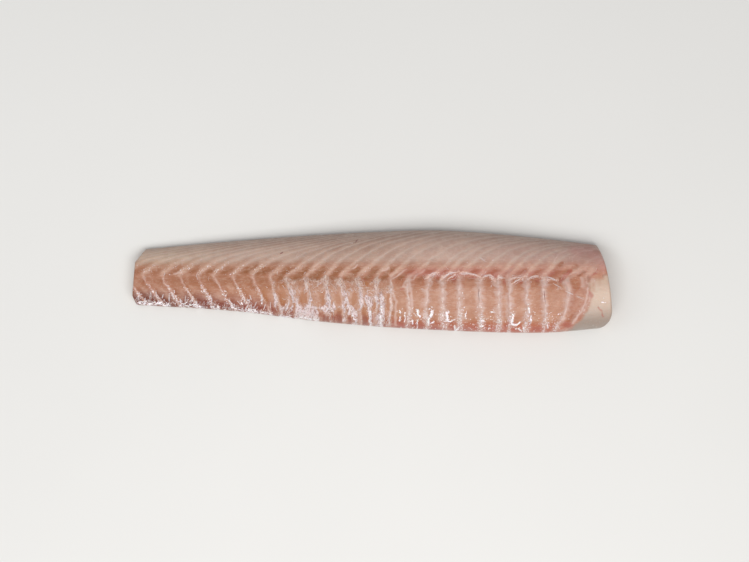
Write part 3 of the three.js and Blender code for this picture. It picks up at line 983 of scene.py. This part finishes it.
def fray_weight(x, y):
    return near(x, y, 0.8) * smooth_step(1, 22, SEAM_Y - y) * (y > belly_edge(x)) * smooth_step(-60, -85, x)


def lace_weight(x, y):
    return smooth_step(0.15, 0.7, strokes(x, y - 1.8, NET))


def wisp_weight(x, y):
    return smooth_step(0.3, 0.9, strokes(x, y, [(3.2, *path) for path in GARLAND]))


def fuzz_weight(x, y):
    rise = y - SEAM_Y
    return near(x, y, 2.0) * bump(rise - 6, 4) * smooth_step(60, -90, x)


def crumb_weight(x, y):
    return smooth_step(0.35, 0.9, fields_at(x, y)["glint_spray"]) * smooth_step(0, 30, x)


groups = []
for weight, count, mean_length, mean_radius, swing, wander, low, high in [
    (film_weight, 480, 3.4, 0.08, 0.55, 0.4, (-85, -33), (22, 4)),
    (fray_weight, 320, 1.4, 0.08, 0.9, 0.5, (-176, -31), (-60, 4)),
    (lace_weight, 380, 1.9, 0.1, 0.8, 0.7, (-179, -30), (-58, -5)),
    (wisp_weight, 150, 2.4, 0.06, 1.6, 0.4, (15, 0), (145, 14)),
    (fuzz_weight, 120, 2.4, 0.07, 0.4, 0.25, (-176, 4), (60, 22)),
    (crumb_weight, 420, 0.6, 0.2, 1.5, 0.6, (15, -38), (145, 4)),
]:
    places = scatter(count, weight, low, high)
    headings = septum_heading(places[:, 0], places[:, 1]) + chance.normal(0, swing, count)
    lengths = mean_length * chance.lognormal(-0.1, 0.45, count)
    lines = grow(places, headings, lengths, wander)
    groups.append((lines, mean_radius * chance.lognormal(-0.05, 0.3, count)))
groups.append((garland, 0.09 * chance.lognormal(0, 0.3, len(garland))))
groups.append((strands, 0.08 * chance.lognormal(0, 0.2, len(strands))))
groups.append((spikes, 0.11 * chance.lognormal(0, 0.3, len(spikes))))
white_paths = np.concatenate([lines for lines, radii in groups])
white_radii = np.concatenate([radii for lines, radii in groups])
white_threads = thread_piece("white_threads", white_paths, white_radii)
print("white threads:", len(white_paths))

# %% Dark threads
VEINS = [
    (478, 287, 477.5, 293, 479, 306), (542.5, 289, 543, 296, 544.5, 307),
    (354.8, 243.5, 356, 241, 358.5, 239.3), (280.5, 254.5, 284, 252),
]
veins = drawn(VEINS, copies=2, spread=0.12)
dark_threads = thread_piece("dark_threads", veins, 0.14 * chance.lognormal(0, 0.2, len(veins)))
print("dark threads:", len(veins))

# %% [markdown]
# ## Small helpers for materials
#
# A material is a graph of nodes. These helpers add a node to the graph in hand, which every cell
# calls tree, and join it in the same line, so that the cells below read as what they do. Colours
# are written as they look on a screen, from 0 to 255.

# %% Node helpers
def shade(red, green, blue):
    """A screen colour as the linear colour that the shader needs."""
    def linear(c):
        c = c / 255
        return c / 12.92 if c <= 0.04045 else ((c + 0.055) / 1.055) ** 2.4
    return (linear(red), linear(green), linear(blue), 1)


def put(value, socket):
    """Joins a socket to a socket, or sets its value."""
    if isinstance(value, bpy.types.NodeSocket):
        tree.links.new(value, socket)
    else:
        socket.default_value = value


def calc(operation, a, b=0, clamp=False):
    node = tree.nodes.new("ShaderNodeMath")
    node.operation = operation
    node.use_clamp = clamp
    put(a, node.inputs[0])
    put(b, node.inputs[1])
    return node.outputs[0]


FACTOR, COLOUR_A, COLOUR_B, COLOUR_OUT = 0, 6, 7, 2  # sockets of a mix node set to colours


def blend(share, a, b):
    """Colour a at share 0 and colour b at share 1."""
    node = tree.nodes.new("ShaderNodeMix")
    node.data_type = "RGBA"
    put(share, node.inputs[FACTOR])
    put(a, node.inputs[COLOUR_A])
    put(b, node.inputs[COLOUR_B])
    return node.outputs[COLOUR_OUT]


def ease(value, low, high, start=0, end=1):
    """Goes smoothly from start to end while value goes from low to high."""
    node = tree.nodes.new("ShaderNodeMapRange")
    node.interpolation_type = "SMOOTHSTEP"
    put(value, node.inputs["Value"])
    put(low, node.inputs["From Min"])
    put(high, node.inputs["From Max"])
    put(start, node.inputs["To Min"])
    put(end, node.inputs["To Max"])
    return node.outputs[0]


def field(name):
    """One of the fields that the mesh carries."""
    node = tree.nodes.new("ShaderNodeAttribute")
    node.attribute_name = name
    return node.outputs["Fac"]


def noise(vector, scale, detail=3, roughness=0.55):
    """A cloudy pattern with values around a half."""
    node = tree.nodes.new("ShaderNodeTexNoise")
    put(vector, node.inputs["Vector"])
    put(scale, node.inputs["Scale"])
    node.inputs["Detail"].default_value = detail
    node.inputs["Roughness"].default_value = roughness
    return node.outputs[0]


def object_place():
    """Where a point is on its object, in metres."""
    return tree.nodes.new("ShaderNodeTexCoord").outputs["Object"]


def times(*values):
    """The product of some values."""
    product = values[0]
    for value in values[1:]:
        product = calc("MULTIPLY", product, value)
    return product


def place_in_mm(*axes):
    """Place on the fillet along some axes, 0 for x to 2 for z."""
    split = tree.nodes.new("ShaderNodeSeparateXYZ")
    put(object_place(), split.inputs[0])
    return [times(split.outputs[axis], 1 / MM) for axis in axes]


def stretched(a, b, c=0):
    """A place for a pattern, from three values that may be scaled each in its own way."""
    node = tree.nodes.new("ShaderNodeCombineXYZ")
    put(a, node.inputs[0])
    put(b, node.inputs[1])
    put(c, node.inputs[2])
    return node.outputs[0]


def along_septa(squash):
    """A place in mm that follows the flakes, so a pattern there is stretched along the septa."""
    return stretched(times(field("flake"), MEAN_WIDTH), times(field("rise"), squash))


def group_with(name, inputs, outputs):
    """An empty node group with named inputs and outputs."""
    tree = bpy.data.node_groups.new(name, "ShaderNodeTree")
    for label, value in inputs:
        socket = tree.interface.new_socket(label, in_out="INPUT", socket_type="NodeSocketFloat")
        socket.default_value = value
    for label in outputs:
        tree.interface.new_socket(label, in_out="OUTPUT", socket_type="NodeSocketFloat")
    given = tree.nodes.new("NodeGroupInput").outputs
    result = tree.nodes.new("NodeGroupOutput").inputs
    return tree, given, result


def use(group, **values):
    """Places a group in a material and sets its inputs. Names use _ for a space."""
    node = tree.nodes.new("ShaderNodeGroup")
    node.node_tree = group
    for label, value in values.items():
        put(value, node.inputs[label.replace("_", " ")])
    return node.outputs


print("helpers ready")

# %% [markdown]
# ## Septum lines
#
# A septum shows as a fine white line inside a soft pinkish band. The group turns the flake field
# into both. It divides by how crowded the flakes are, so a line is as thin where the arms lie
# close together along the back as where they are far apart.

# %% Septum group
tree, given, result = group_with(
    "Septum lines",
    [("Line", 0.5), ("Band", 1.8), ("Waver", 0.5)],
    ["Line", "Band"],
)
ragged = noise(along_septa(1), 0.7, 5, 0.65)
waver = times(calc("SUBTRACT", ragged, 0.5), given["Waver"])
flake_field = field("flake")
distance = calc("SUBTRACT", flake_field, calc("ROUND", flake_field))
distance = calc("DIVIDE", distance, calc("MAXIMUM", field("crowd"), 0.02))  # in mm
distance = calc("ABSOLUTE", calc("ADD", distance, waver))
put(ease(distance, given["Line"], 0), result["Line"])
put(ease(distance, given["Band"], 0.2), result["Band"])
septa_group = tree
print("group:", septa_group.name)

# %% [markdown]
# ## Torn edges
#
# Film tears along the fibres, so its edge is ragged, and it is thickest where it is whole. The
# group adds noise that is stretched along the septa to a soft field. One output is the level
# that this gives, the other a crisp mask where the level is over a half.

# %% Torn edge group
tree, given, result = group_with(
    "Torn edge",
    [("Cover", 0.5), ("Raggedness", 0.5), ("Grain", 1), ("Softness", 0.08)],
    ["Level", "Mask"],
)
grain = noise(along_septa(0.42), given["Grain"], 4, 0.6)
swing = times(calc("SUBTRACT", grain, 0.5), given["Raggedness"], 2)
level = calc("ADD", given["Cover"], swing)
lower = calc("SUBTRACT", 0.5, given["Softness"])
upper = calc("ADD", 0.5, given["Softness"])
put(ease(level, lower, upper), result["Mask"])
put(level, result["Level"])
torn_group = tree
print("group:", torn_group.name)

# %% [markdown]
# ## Fibre net
#
# Thin film is a felt of fine fibres. The middle value of a noise runs through it as crooked lines,
# so two such noises, one stretched along the septa and one not, cross to a net.

# %% Fibre net group
tree, given, result = group_with("Fibre net", [("Fineness", 1), ("Thickness", 0.08)], ["Net"])
strand_lines = []
for place, per_unit in ((along_septa(0.35), 1), (object_place(), 600)):
    wisps = noise(place, times(given["Fineness"], per_unit), 4, 0.6)
    off_middle = calc("ABSOLUTE", calc("SUBTRACT", wisps, 0.5))
    strand_lines.append(ease(off_middle, given["Thickness"], 0))
put(calc("MAXIMUM", *strand_lines), result["Net"])
fibre_group = tree
print("group:", fibre_group.name)

# %% [markdown]
# ## Lace
#
# Along the trimmed edge the torn ends of the septa lie in a white lace, whose white is partly the tissue
# and partly painted glints of the wet edge. It is a field of cells with a hole in the middle of each, cut
# off by a ragged border.

# %% Lace group
tree, given, result = group_with("Lace", [("Cover", 0.5), ("Mesh size", 1.8), ("Hole", 0.35)], ["Mask"])
place = object_place()
border = noise(place, calc("DIVIDE", 900, given["Mesh size"]), 4, 0.65)
level = calc("ADD", given["Cover"], times(calc("SUBTRACT", border, 0.5), 2.2))
holes = tree.nodes.new("ShaderNodeTexVoronoi")
put(place, holes.inputs["Vector"])
put(calc("DIVIDE", 1 / MM, given["Mesh size"]), holes.inputs["Scale"])
around = ease(calc("SUBTRACT", holes.outputs["Distance"], given["Hole"]), -0.06, 0.06)
put(times(ease(level, 0.4, 0.55), around), result["Mask"])
lace_group = tree
print("group:", lace_group.name)

# %% [markdown]
# ## Muscle grain
#
# Raw flesh is never one colour: fibres catch the light as faint streaks, and clouds of paler and
# deeper flesh drift across the flakes. The group gives both as values around a half.

# %% Grain group
tree, given, result = group_with(
    "Muscle grain",
    [("Streak size", 1), ("Cloud size", 7)],
    ["Streaks", "Clouds", "Specks"],
)
x_mm, y_mm, z_mm = place_in_mm(0, 1, 2)
streak_place = stretched(times(x_mm, 0.25), y_mm, z_mm)
put(noise(streak_place, calc("DIVIDE", 1, given["Streak size"])), result["Streaks"])
cloud_place = stretched(x_mm, y_mm, z_mm)
put(noise(cloud_place, calc("DIVIDE", 1, given["Cloud size"])), result["Clouds"])
put(noise(cloud_place, 1.4, 2), result["Specks"])
grain_group = tree
print("group:", grain_group.name)

# %% [markdown]
# ## Spray
#
# Where wet, torn flesh glints, tiny bright grains are painted into the colour as painted glints. The group
# scatters one grain in each cell of a fine mesh, and keeps it only where the amount is high enough for that
# cell's luck.

# %% Spray group
tree, given, result = group_with("Spray", [("Amount", 0.5), ("Spacing", 1.5)], ["Mask"])
place = object_place()
cells = tree.nodes.new("ShaderNodeTexVoronoi")
cells.voronoi_dimensions = "2D"
put(place, cells.inputs["Vector"])
put(calc("DIVIDE", 1 / MM, given["Spacing"]), cells.inputs["Scale"])
luck = tree.nodes.new("ShaderNodeSeparateColor")
put(cells.outputs["Color"], luck.inputs[0])
kept = ease(calc("SUBTRACT", given["Amount"], luck.outputs[0]), 0, 0.08)
grain_edge = calc("ADD", times(luck.outputs[1], 0.3), 0.2)
spot = ease(cells.outputs["Distance"], grain_edge, times(grain_edge, 0.5))
put(times(spot, kept), result["Mask"])
glint_spray_group = tree
print("group:", glint_spray_group.name)

# %% [markdown]
# ## Bone side
#
# The material is built from the bottom up, as the flesh is: deep amber muscle below the seam and pale
# grey-pink muscle along the back, darkened towards the back edge by painted shade, then the septa, the
# film, the net at the trimmed edge, the flecks and grains that are painted glints, and blood along the
# seam. The wet film of water is the shader's clear coat.

# %% Flesh colours
# Each table lists the place along the fillet in mm, then the colour there.
BACK = [
    (-180, 200, 176, 156), (-90, 184, 157, 143), (-10, 170, 141, 127), (60, 188, 160, 148),
    (130, 182, 150, 140), (180, 176, 138, 128),
]
# Painted shade towards the back edge, where the back rolls away from the light.
BACK_EDGE_SHADE = [(-180, 140, 114, 98), (-10, 90, 64, 50), (110, 136, 110, 96), (180, 136, 108, 96)]
LOW_BACK = [
    (-180, 157, 110, 84), (-90, 148, 98, 72), (-10, 156, 106, 82), (30, 154, 101, 76), (60, 160, 108, 84),
    (95, 165, 116, 96), (130, 166, 118, 100), (180, 184, 140, 126),
]
NEAR_SEAM = [
    (-180, 160, 105, 78), (-110, 155, 99, 69), (-60, 155, 98, 66), (30, 162, 102, 76),
    (130, 162, 102, 78), (155, 174, 117, 91), (180, 178, 124, 100),
]
BELLY = [
    (-180, 157, 100, 70), (-110, 160, 103, 71), (-50, 159, 101, 66), (10, 165, 111, 80),
    (60, 167, 112, 83), (128, 168, 111, 81), (142, 172, 119, 92), (150, 154, 88, 55), (180, 170, 112, 84),
]
RED_EDGE = [
    (-180, 92, 34, 27), (-60, 130, 58, 46), (20, 156, 72, 54), (120, 174, 82, 60), (180, 172, 128, 100),
]
BELLY_BAND = [(-180, 180, 134, 118), (-80, 184, 142, 126), (20, 193, 163, 153), (180, 192, 162, 154)]
TISSUE_AND_GLINT_WHITE = shade(246, 239, 242)


def new_material(name):
    material = bpy.data.materials.new(name)
    material.use_nodes = True
    tree = material.node_tree
    return material, tree, tree.nodes["Principled BSDF"]


def ramp_along(x, stops):
    """A colour that changes along the fillet, with x in mm."""
    node = tree.nodes.new("ShaderNodeValToRGB")
    node.color_ramp.interpolation = "EASE"
    elements = node.color_ramp.elements
    for _ in range(len(stops) - 2):
        elements.new(0.5)
    for element, (place, *colour) in zip(elements, stops):
        element.position = (place + HALF) / (2 * HALF)
        element.color = shade(*colour)
    put(calc("DIVIDE", calc("ADD", x, HALF), 2 * HALF), node.inputs[0])
    return node.outputs[0]


def finish_flesh(shader, colour, roughness, coat, lumps, strength, depth_mm):
    """What all the raw flesh shares: a little light goes in, and a film of water makes it gloss."""
    shader.inputs["Subsurface Weight"].default_value = 0.18
    shader.inputs["Subsurface Radius"].default_value = (1.0, 0.45, 0.3)
    shader.inputs["Subsurface Scale"].default_value = 0.0016
    shader.inputs["IOR"].default_value = 1.38
    shader.inputs["Coat Roughness"].default_value = 0.22
    put(colour, shader.inputs["Base Color"])
    put(roughness, shader.inputs["Roughness"])
    put(coat, shader.inputs["Coat Weight"])
    surface = tree.nodes.new("ShaderNodeBump")
    surface.inputs["Strength"].default_value = strength
    surface.inputs["Distance"].default_value = depth_mm * MM
    put(lumps, surface.inputs["Height"])
    put(surface.outputs[0], shader.inputs["Normal"])


print("colours and helpers ready")

# %% Bone side: muscle
bone_side, tree, shader = new_material("Bone side flesh")
x_along, height_mm = place_in_mm(0, 2)
rise = field("rise")
edge = field("edge")
grain = use(grain_group, Streak_size=0.9, Cloud_size=8)
belly = ease(field("turn"), 4, -4)
high = ease(rise, 6, 14)
flesh_back = blend(high, ramp_along(x_along, LOW_BACK), ramp_along(x_along, BACK))
# Painted shade: the flesh darkens towards the back edge, where it rolls away from the light.
flesh_back = blend(ease(field("back"), 10, 0, 0, 0.6), flesh_back, ramp_along(x_along, BACK_EDGE_SHADE))
flesh_belly = blend(ease(rise, 1, -13), ramp_along(x_along, NEAR_SEAM), ramp_along(x_along, BELLY))
flesh = blend(belly, flesh_back, flesh_belly)
# The hollows behind the seam are painted deeper amber: partly the flesh's own colour, partly painted shade
# in the hollows.
pocket = use(torn_group, Cover=field("pocket"), Raggedness=0.25, Grain=0.4, Softness=0.45)
pocket_amber_and_shade = blend(ease(x_along, 15, 50), shade(134, 78, 38), shade(150, 92, 66))
flesh = blend(times(pocket["Mask"], 0.85), flesh, pocket_amber_and_shade)
red_reach = ease(x_along, -90, 0, 16, 11)
red_core = ease(x_along, -90, 0, 4.5, 1)
red_edge = times(ease(edge, red_reach, red_core), belly, ease(grain["Clouds"], 0.25, 0.6, 0.7, 1))
flesh = blend(times(red_edge, ease(height_mm, 2, 11, 0.5, 0.96)), flesh, ramp_along(x_along, RED_EDGE))
cloudy = ease(grain["Clouds"], 0.3, 0.7, -0.5, 0.5)
flesh = blend(calc("MULTIPLY", cloudy, 0.36, clamp=True), flesh, shade(150, 98, 72))
flesh = blend(calc("MULTIPLY", cloudy, -0.34, clamp=True), flesh, shade(212, 178, 158))
flesh = blend(times(ease(grain["Streaks"], 0.48, 0.75), 0.2), flesh, shade(220, 194, 178))
flesh = blend(times(ease(grain["Specks"], 0.52, 0.3), 0.16), flesh, shade(140, 88, 66))
print("nodes for the muscle:", len(tree.nodes))

# %% Bone side: septa below the seam
thick_end = ease(x_along, 0, 50)
before_cut = ease(x_along, 138, 150, 1, 0.45)  # the septa are faint in front of the head cut
uneven = noise(stretched(field("flake"), times(rise, 0.16)), 2.2)
band_width = times(ease(thick_end, 0, 1, 2, 4.8), ease(uneven, 0.3, 0.7, 0.55, 1.35))
septa = use(septa_group, Line=1.1, Band=band_width, Waver=2.6)
patchy = ease(noise(stretched(field("flake"), times(rise, 0.11)), 2.6), 0.34, 0.62)
band = times(septa["Band"], belly, ease(patchy, 0, 1, 0.6, 0.95))
band = times(band, ease(edge, 1, 10, 0.6, 1), before_cut)
flesh = blend(band, flesh, ramp_along(x_along, BELLY_BAND))
line = times(septa["Line"], belly, ease(patchy, 0.2, 1, 0.05, 0.6))
line = times(line, ease(grain["Specks"], 0.4, 0.56, 0.1, 1), ease(rise, -4, -14, 0.9, 1.5))
line = times(line, ease(thick_end, 0, 1, 1, 0.4), ease(x_along, -95, -75, 0.6, 1))
flesh = blend(line, flesh, shade(234, 218, 210))
window = use(torn_group, Cover=field("window"), Raggedness=0.3, Grain=0.6, Softness=0.25)
window_colour = blend(ease(edge, 11, 6), shade(157, 98, 58), shade(138, 80, 62))
flesh = blend(times(window["Mask"], 0.8), flesh, window_colour)
print("nodes with the septa below the seam:", len(tree.nodes))

# %% Bone side: septa on the back
wide = use(septa_group, Line=0.7, Band=ease(rise, 2, 22, 3, 1.8), Waver=1)
on_back = calc("SUBTRACT", 1, belly)
back_band = times(wide["Band"], on_back, ease(rise, 0, 5, 0.5, 0.85), ease(rise, 9, 22, 1, 0.55))
back_band = times(back_band, before_cut, ease(x_along, -70, 30, 0.66, 0.84))
back_band = times(back_band, ease(grain["Streaks"], 0.3, 0.6, 0.6, 1))
flesh = blend(back_band, flesh, blend(high, shade(199, 165, 147), shade(190, 168, 156)))
back_line = times(wide["Line"], ease(rise, 8, 18), ease(thick_end, 0, 1, 0.32, 0.2))
flesh = blend(back_line, flesh, shade(204, 182, 170))
print("nodes with the septa on the back:", len(tree.nodes))

# %% Bone side: fat, blood and garland
pale = use(torn_group, Cover=field("pale"), Raggedness=0.3, Grain=0.5, Softness=0.4)
flesh = blend(times(pale["Mask"], 0.6), flesh, shade(198, 168, 158))
# Painted shade: the cream darkens to grey towards the trimmed edge, on its steep slope.
cream = use(torn_group, Cover=field("cream"), Raggedness=0.2, Grain=0.3, Softness=0.5)
cream_and_shade_colour = blend(ease(rise, -16, -36), shade(196, 172, 154), shade(150, 137, 127))
flesh = blend(times(cream["Mask"], 0.92), flesh, cream_and_shade_colour)
flesh = blend(times(field("blush"), 0.45), flesh, shade(184, 130, 124))
blood = use(torn_group, Cover=field("blood"), Raggedness=0.5, Grain=0.6, Softness=0.45)
flesh = blend(times(blood["Mask"], 0.65), flesh, shade(160, 84, 68))
rope = use(torn_group, Cover=field("rope"), Raggedness=0.6, Grain=1.1, Softness=0.32)
rope_colour = blend(ease(grain["Specks"], 0.35, 0.65), shade(202, 158, 144), shade(230, 204, 191))
flesh = blend(times(rope["Mask"], 0.7), flesh, rope_colour)
print("nodes with fat, blood and garland:", len(tree.nodes))

# %% Bone side: film, lace and flecks, with painted glints
fibres = use(fibre_group, Fineness=0.5, Thickness=0.085)
film = use(torn_group, Cover=field("film"), Raggedness=0.6, Grain=0.7, Softness=0.16)
veil = ease(film["Level"], 0.2, 0.7, 0, 0.6)
flesh = blend(veil, flesh, shade(156, 112, 91))
flesh = blend(times(ease(film["Level"], 0.15, 0.6), fibres["Net"], 0.44), flesh, shade(199, 164, 148))
whole = ease(film["Level"], 0.56, 0.76)
film_white = blend(ease(rise, -5, -14), shade(226, 202, 190), shade(227, 210, 211))
film_colour = blend(fibres["Net"], shade(160, 120, 110), film_white)
flesh = blend(times(whole, ease(rise, -6, -16, 0.6, 0.93)), flesh, film_colour)
# Flecks, spray grains and part of the lace are painted glints: white put into the colour where the wet
# surface catches the light.
glint_fleck = use(torn_group, Cover=times(field("glint_fleck"), 0.8), Raggedness=1.3, Grain=2.3, Softness=0.12)
net = use(lace_group, Cover=times(field("net"), 0.59), Mesh_size=1.9, Hole=0.4)
glint_spray = use(glint_spray_group, Amount=times(field("glint_spray"), 0.6), Spacing=1)
glint_beads = use(glint_spray_group, Amount=times(field("glint_spray"), ease(x_along, -62, -84, 0, 0.6)), Spacing=1.75)
glint_grains = calc("MAXIMUM", times(glint_spray["Mask"], 0.85), times(glint_beads["Mask"], 0.68))
white_and_glints = calc("MAXIMUM", calc("MAXIMUM", net["Mask"], glint_fleck["Mask"]), glint_grains)
flesh = blend(white_and_glints, flesh, TISSUE_AND_GLINT_WHITE)
lumps = calc("ADD", times(grain["Streaks"], 0.35), times(grain["Specks"], 0.5))
lumps = calc("ADD", lumps, times(whole, fibres["Net"]))
lumps = calc("ADD", lumps, times(white_and_glints, 0.8))
roughness = ease(grain["Clouds"], 0.3, 0.7, 0.38, 0.55)
finish_flesh(shader, flesh, roughness, ease(rise, 16, -6, 0.08, 0.3), lumps, 0.6, 0.5)
print("nodes in the bone side material:", len(tree.nodes))

# %% [markdown]
# ## Threads
#
# The white threads are collagen, nearly white where they are thick and pinkish where they are
# thin. The dark ones are small veins that kept their blood.

# %% Thread materials
for piece, name, pale_colour, deep_colour in [
    (white_threads, "White tissue", shade(246, 238, 240), shade(226, 206, 204)),
    (dark_threads, "Blood vessel", shade(150, 88, 90), shade(112, 58, 60)),
]:
    material, tree, shader = new_material(name)
    grain = use(grain_group, Streak_size=1, Cloud_size=3)
    mix = calc("ADD", times(field("tone"), 0.7), times(grain["Clouds"], 0.5))
    colour = blend(ease(mix, 0.1, 1), pale_colour, deep_colour)
    roughness = ease(grain["Clouds"], 0.3, 0.7, 0.3, 0.5)
    finish_flesh(shader, colour, roughness, 0.3, grain["Specks"], 0.3, 0.2)
    piece.data.materials.append(material)
print("thread materials ready")

# %% [markdown]
# ## Skin side and cut faces
#
# Under the fillet the skin was pulled off, which leaves the same chevrons, a silvery sheen and a
# thin brown stripe of dark muscle along the middle. The cut faces show the flakes end on, as
# nested arcs.

# %% Skin side material
skin_side, tree, shader = new_material("Skin side flesh")
rise = field("rise")
grain = use(grain_group, Streak_size=1.4, Cloud_size=12)
flesh = blend(ease(grain["Clouds"], 0.3, 0.7), shade(206, 176, 160), shade(190, 154, 138))
septa = use(septa_group, Line=0.7, Band=2.4, Waver=0.8)
flesh = blend(times(septa["Band"], 0.5), flesh, shade(222, 204, 196))
stripe = times(ease(rise, -9, -2), ease(rise, 9, 1))
stripe = times(stripe, ease(grain["Streaks"], 0.25, 0.7))
flesh = blend(times(stripe, 0.7), flesh, shade(142, 92, 74))
# Pale specks are painted sheen for the silvery shine of the skinned side.
flesh = blend(times(ease(grain["Specks"], 0.5, 0.7), 0.3), flesh, shade(226, 218, 214))
roughness = ease(grain["Clouds"], 0.3, 0.7, 0.3, 0.42)
lumps = calc("ADD", grain["Streaks"], septa["Band"])
finish_flesh(shader, flesh, roughness, 0.4, lumps, 0.4, 0.5)
print("nodes in the skin side material:", len(tree.nodes))

# %% Knife cut material
ARC_SPACING = 7.5  # mm between the layers that a cut shows
knife_cut, tree, shader = new_material("Knife cut flesh")
grain = use(grain_group, Streak_size=1, Cloud_size=6)
cut_y, cut_z = place_in_mm(1, 2)
aside = calc("SUBTRACT", cut_y, SEAM_Y)
reach = calc("SQRT", calc("ADD", times(aside, aside), times(cut_z, cut_z, 1.6)))
layers = calc("DIVIDE", calc("ADD", reach, times(grain["Clouds"], 5)), ARC_SPACING)
arcs = calc("ABSOLUTE", calc("SUBTRACT", calc("FRACT", layers), 0.5))
flesh = blend(ease(grain["Clouds"], 0.3, 0.7), shade(218, 192, 172), shade(202, 162, 140))
flesh = blend(ease(arcs, 0.09, 0, 0, 0.75), flesh, shade(230, 214, 204))
flesh = blend(times(ease(grain["Specks"], 0.5, 0.75), 0.35), flesh, shade(232, 216, 206))
roughness = ease(grain["Specks"], 0.3, 0.7, 0.3, 0.45)
lumps = calc("ADD", grain["Specks"], ease(arcs, 0.1, 0))
finish_flesh(shader, flesh, roughness, 0.5, lumps, 0.4, 0.5)
for material in (bone_side, skin_side, knife_cut):
    fillet_mesh.materials.append(material)
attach(fillet, "root")
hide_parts("cod_fillet")
print("materials on the fillet:", [m.name for m in fillet_mesh.materials])

# %% [markdown]
# ## The set
#
# The fillet lies on a plain pale floor, and the camera looks straight down, with a long lens from far
# enough away that the picture is almost a plan. A broad soft light from the belly side makes the wet edge
# glint and lets the back fall into half shade; the bone side's colour adds painted glints and painted shade
# towards the back edge on top of that.

# %% Floor
FLOOR_SIZE = 6.0
floor_mesh = bpy.data.meshes.new("floor")
side = FLOOR_SIZE / 2
floor_corners = [(-side, -side, 0), (side, -side, 0), (side, side, 0), (-side, side, 0)]
floor_mesh.from_pydata(floor_corners, [], [(0, 1, 2, 3)])
floor = bpy.data.objects.new("floor", floor_mesh)
bpy.context.scene.collection.objects.link(floor)
floor.location.z = -0.2 * MM
floor_paint, tree, shader = new_material("Pale floor")
cloud = noise(object_place(), 3.0)
put(blend(cloud, shade(214, 213, 211), shade(220, 219, 217)), shader.inputs["Base Color"])
shader.inputs["Roughness"].default_value = 0.8
floor_mesh.materials.append(floor_paint)
print("floor in m:", FLOOR_SIZE)

# %% Camera
PICTURE_WIDTH = 749  # pixels
MIDDLE_OFFSET = 3.0  # pixels from the fillet's middle to the picture's
MIDDLE_Y = 0.4  # mm
LENS = 120.0
SENSOR = 36.0
picture_mm = PICTURE_WIDTH * MM_PER_PIXEL
distance_mm = picture_mm * LENS / SENSOR
SCALE_HEIGHT = 12.0  # the picture's scale holds at this height over the floor
FAR_CLIP = 50.0  # metres
camera_data = bpy.data.cameras.new("camera")
camera_data.lens = LENS
camera_data.sensor_width = SENSOR
camera_data.clip_end = FAR_CLIP
camera = bpy.data.objects.new("camera", camera_data)
bpy.context.scene.collection.objects.link(camera)
middle_x = MIDDLE_OFFSET * MM_PER_PIXEL  # the fillet lies a little left of the middle
camera.location = Vector((middle_x, MIDDLE_Y, distance_mm + SCALE_HEIGHT)) * MM
bpy.context.scene.camera = camera
print("camera height in m:", round(camera.location.z, 2))

# %% Lights
def soft_light(name, place, aim, width, depth, watts, colour):
    """A lamp with a broad rectangle of light, in metres, turned to the place that it aims at."""
    data = bpy.data.lights.new(name, "AREA")
    data.shape = "RECTANGLE"
    data.size = width
    data.size_y = depth
    data.energy = watts
    data.color = colour
    lamp = bpy.data.objects.new(name, data)
    bpy.context.scene.collection.objects.link(lamp)
    lamp.location = place
    lamp.rotation_euler = (Vector(aim) - Vector(place)).to_track_quat("-Z", "Y").to_euler()
    lamp.visible_camera = False
    return lamp


soft_light("key", (0.1, -0.6, 1.3), (0, 0, 0), 1.5, 0.9, 17.5, (1.0, 0.99, 0.97))
soft_light("fill", (-1.0, 0.1, 1.2), (0, 0, 0), 1.0, 1.0, 4.0, (0.95, 0.98, 1.0))
SKY_STRENGTH = 0.45
world = bpy.data.worlds.new("studio")
world.use_nodes = True
sky = world.node_tree.nodes["Background"]
sky.inputs["Color"].default_value = (1.0, 1.0, 1.0, 1.0)
sky.inputs["Strength"].default_value = SKY_STRENGTH
bpy.context.scene.world = world
bpy.context.scene.view_settings.view_transform = "Standard"
